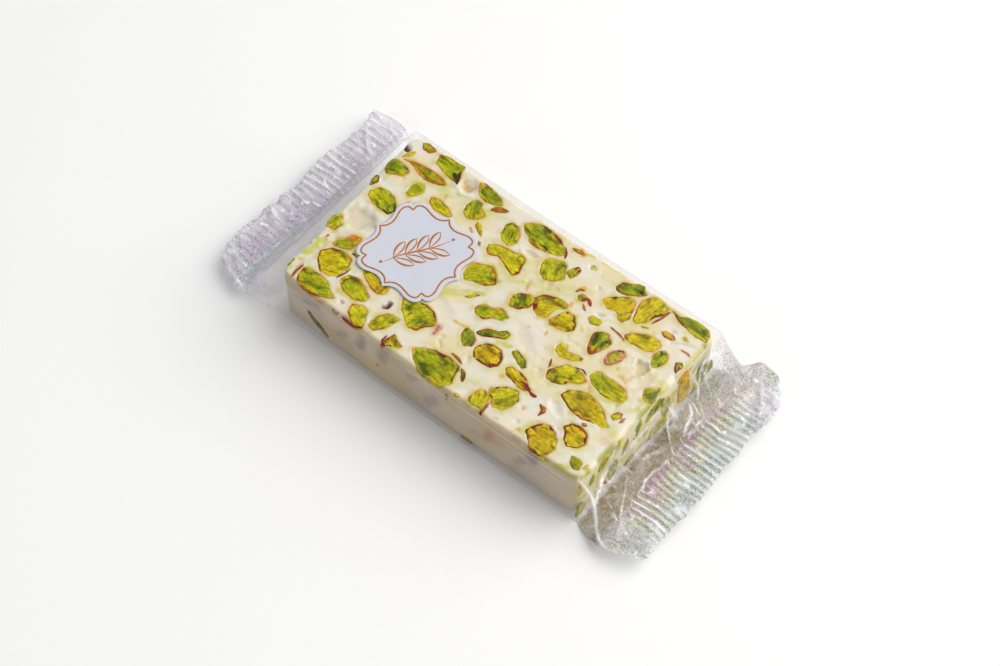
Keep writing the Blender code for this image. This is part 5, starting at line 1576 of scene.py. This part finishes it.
facing = add_node(tree, "LayerWeight", Blend=0.5)
steep = add_node(tree, "Math", {0: facing.outputs["Facing"], 1: 5.0}, operation="POWER")
edge_on = add_node(tree, "Math", {0: steep, 1: 0.7, 2: 0.02},
                   operation="MULTIPLY_ADD")
clear = add_node(tree, "MixShader", {0: edge_on, 1: through,
                                     2: mirror})
uneven = add_node(tree, "MapRange", {"Value": grain}, From_Min=0.35, From_Max=0.65,
                  To_Min=1.2, To_Max=0.8)
cover = add_node(tree, "Math", {0: haze_in, 1: uneven}, operation="MULTIPLY")
covered = add_node(tree, "Math", {0: cover, 1: painted_highlight_in}, operation="MAXIMUM",
                   use_clamp=True)
surface = add_node(tree, "MixShader", {0: covered, 1: clear,
                                       2: frosted})
add_node(tree, "OutputMaterial", {"Surface": surface})

add_piece("film_wrapper", film_points.reshape(-1, 3),
          [*(grid_faces(len(rows_x), ring, True)[:, ::-1]), *ends], film, "clear_film", ["wrap"],
          colour=ring_of(pearl, under_pearl).reshape(-1, 3),
          haze=ring_of(haze, np.clip(under_haze, 0, 1)).ravel(),
          crease=ring_of(crease, np.zeros(under_x.shape)).ravel())
print("wrapper made")

# %% [markdown]
# ## The label
# A die-cut paper label is stuck on the film: cool white uncoated paper with cusped sides and
# notched corners, and a thin printed line that follows its outline. The line and the sprig in the
# middle are ink, and stand only 0.03 mm above the paper. Only an eighth of the outline is written
# down, because the label is the same after a mirror or a quarter turn.

# %% Outline of the label
LABEL_AT = np.array((-22.9, -0.5))
LABEL_TOP = BAR_TOP + 0.5
LINE_EIGHTH = (0, 12, 0.45, 11.3, 1.1, 10.75, 2, 10.35, 3, 10.2, 4.1, 10.35, 5.2, 10.65,
               6.4, 10.98, 7.4, 11, 8.3, 10.7, 8.75, 10.1, 8.75, 9.4, 8.6, 8.6)
PAPER_EIGHTH = (0, 13.2, 0.55, 12.5, 1.3, 11.95, 2.2, 11.55, 3.1, 11.4, 4.2, 11.5, 5.4, 11.85,
                6.6, 12.2, 7.9, 12.15, 9.1, 11.7, 9.75, 10.9, 9.85, 10.2, 9.65, 9.65)


def whole_outline(eighth, count, rounding):
    """A closed outline from an eighth of it: the eighth, its mirror image in the diagonal, and
    three quarter turns of both."""
    eighth = np.reshape(eighth, (-1, 2))
    quarter = np.vstack([eighth, eighth[::-1, ::-1][1:]])[:-1]
    turns = [quarter @ np.linalg.matrix_power(np.array([[0, -1], [1, 0]]), k) for k in range(4)]
    return even_loop(counterclockwise(np.vstack(turns)), count, rounding, 0.0, 1)


line_loop = whole_outline(LINE_EIGHTH, 360, 0.25) + LABEL_AT
paper_loop = whole_outline(PAPER_EIGHTH, 360, 0.25) + LABEL_AT
print("label:", np.ptp(paper_loop, axis=0).round(2), "mm")


def paper_height(x, y):
    """Height of the label's face: flat, with a slow wave of the film below and a slightly lifted
    edge at the back left."""
    lift = 0.06 * soft_step(7, 15, np.hypot(x - LABEL_AT[0] - 2, y - LABEL_AT[1] + 2))
    return LABEL_TOP + 0.04 * noise(x, y, 7, 120) + lift


# %% Paper, line and sprig
LABEL_SHARES = np.array((0.01, 0.1, 0.2, 0.32, 0.44, 0.56, 0.68, 0.8, 0.88, 0.94, 0.975, 1.0))
PAPER_THICK = 0.1
rings = [LABEL_AT + share * (paper_loop - LABEL_AT) for share in LABEL_SHARES]
face = np.vstack([np.column_stack([r, paper_height(*r.T) - 0.03 * (n == len(rings) - 1)])
                  for n, r in enumerate(rings)])
under = [np.column_stack([r, paper_height(*r.T) - PAPER_THICK])
         for r in (rings[-1], rings[4], rings[0])]
label_points = np.vstack([face, *under])
count = len(paper_loop)
levels = len(rings) + len(under)
label_faces = [*grid_faces(levels, count, True)[:, ::-1], np.arange(count),
               (levels - 1) * count + np.arange(count)[::-1]]

paper, tree = new_material("uncoated_label_paper")
place = add_node(tree, "TexCoord").outputs["Object"]
PULP_MM = 0.6
pulp = add_node(tree, "TexNoise", {"Vector": place}, Scale=1 / (PULP_MM * MM), Detail=4.0,
                Roughness=0.65)
tone = add_node(tree, "Mix", {"Factor": pulp, 6: rgba(linear("#C9CCD8")),
                              7: rgba(linear("#DADCE6"))}, data_type="RGBA")
bump = add_node(tree, "Bump", {"Height": pulp}, Strength=0.25, Distance=0.00006)
surface = add_node(tree, "BsdfPrincipled", {"Base Color": tone.outputs[2], "Normal": bump},
                   Roughness=0.72, IOR=1.45)
add_node(tree, "OutputMaterial", {"Surface": surface})

ink, tree = new_material("copper_printing_ink")
place = add_node(tree, "TexCoord").outputs["Object"]
spread = add_node(tree, "TexNoise", {"Vector": place}, Scale=1 / (0.8 * MM), Detail=3.0)
tone = add_node(tree, "Mix", {"Factor": spread, 6: rgba(linear("#B4692A")),
                              7: rgba(linear("#D08A42"))}, data_type="RGBA")
surface = add_node(tree, "BsdfPrincipled", {"Base Color": tone.outputs[2]},
                   Roughness=0.4, Metallic=0.35)
add_node(tree, "OutputMaterial", {"Surface": surface})

add_piece("label_paper", label_points, label_faces, paper, "paper_label", ["label"])

# points of a stroke from the label's middle, and its greatest width
LEAVES = [(at, side) for at in (-6.0, -3.0, 0.0, 3.0) for side in (1, -1)]
STROKES = (
    (((-8.4, -0.3), (-4.3, 0.3), (0, 0), (4.3, -0.3), (8.4, 0.3)), 0.5),
    *((((at, 0.1 * side), (at + 1, side * 2.2), (at + 2.7, side * 3.5), (at + 4.1, side * 3.6)),
       0.62)
      for at, side in LEAVES),
    *((((at + 4.1, side * 3.6), (at + 3.4, side * 1.9), (at + 1.8, side * 0.8), (at, 0.1 * side)),
       0.42)
      for at, side in LEAVES),
    *((((x0, y0), (x0 + 0.4, y0 + 0.35), (x0 + 0.8, y0)), 0.8)
      for x0, y0 in ((-9.6, -0.4), (8.8, 0.2))),
)
SPRIG_TURN, STROKE_ROWS, RIBBON_POINTS = 58.0, 24, 5


def ink_ribbon(line, half, closed):
    """A flat ribbon of ink over a path: a low arch of five points across, half wide on either
    side."""
    across = np.array((-1, -0.6, 0, 0.6, 1))
    reach = across[None, :, None] * np.reshape(half, (-1, 1, 1))
    plan = line[:, None] + leftward(line, closed)[:, None] * reach
    height = paper_height(plan[..., 0], plan[..., 1]) + np.array((0.0, 0.025, 0.03, 0.025, 0.0))
    return np.concatenate([plan, height[..., None]], axis=2)


ribbon = ink_ribbon(line_loop, np.full(len(line_loop), 0.24), True)
faces = grid_faces(RIBBON_POINTS, len(line_loop), True)
add_piece("label_line", ribbon.transpose(1, 0, 2).reshape(-1, 3), faces, ink, "paper_label")

share = np.linspace(0, 1, STROKE_ROWS)
sprig_points, sprig_faces = [], []
c, s = np.cos(np.radians(SPRIG_TURN)), np.sin(np.radians(SPRIG_TURN))
for path, width in STROKES:
    line = path_points(path, share)
    for _ in range(12):
        line[1:-1] = (line[:-2] + 2 * line[1:-1] + line[2:]) / 4
    line = line @ np.array([[c, s], [-s, c]]) + LABEL_AT
    half = width / 2 * (0.25 + 0.75 * np.sin(np.pi * np.clip(share, 0.02, 0.98)))
    first = STROKE_ROWS * RIBBON_POINTS * len(sprig_points)
    sprig_faces.append(grid_faces(STROKE_ROWS, RIBBON_POINTS, False)[:, ::-1] + first)
    sprig_points.append(ink_ribbon(line, half, False).reshape(-1, 3))
add_piece("label_sprig", np.vstack(sprig_points), np.vstack(sprig_faces), ink, "paper_label")
print("sprig of", len(STROKES), "strokes")
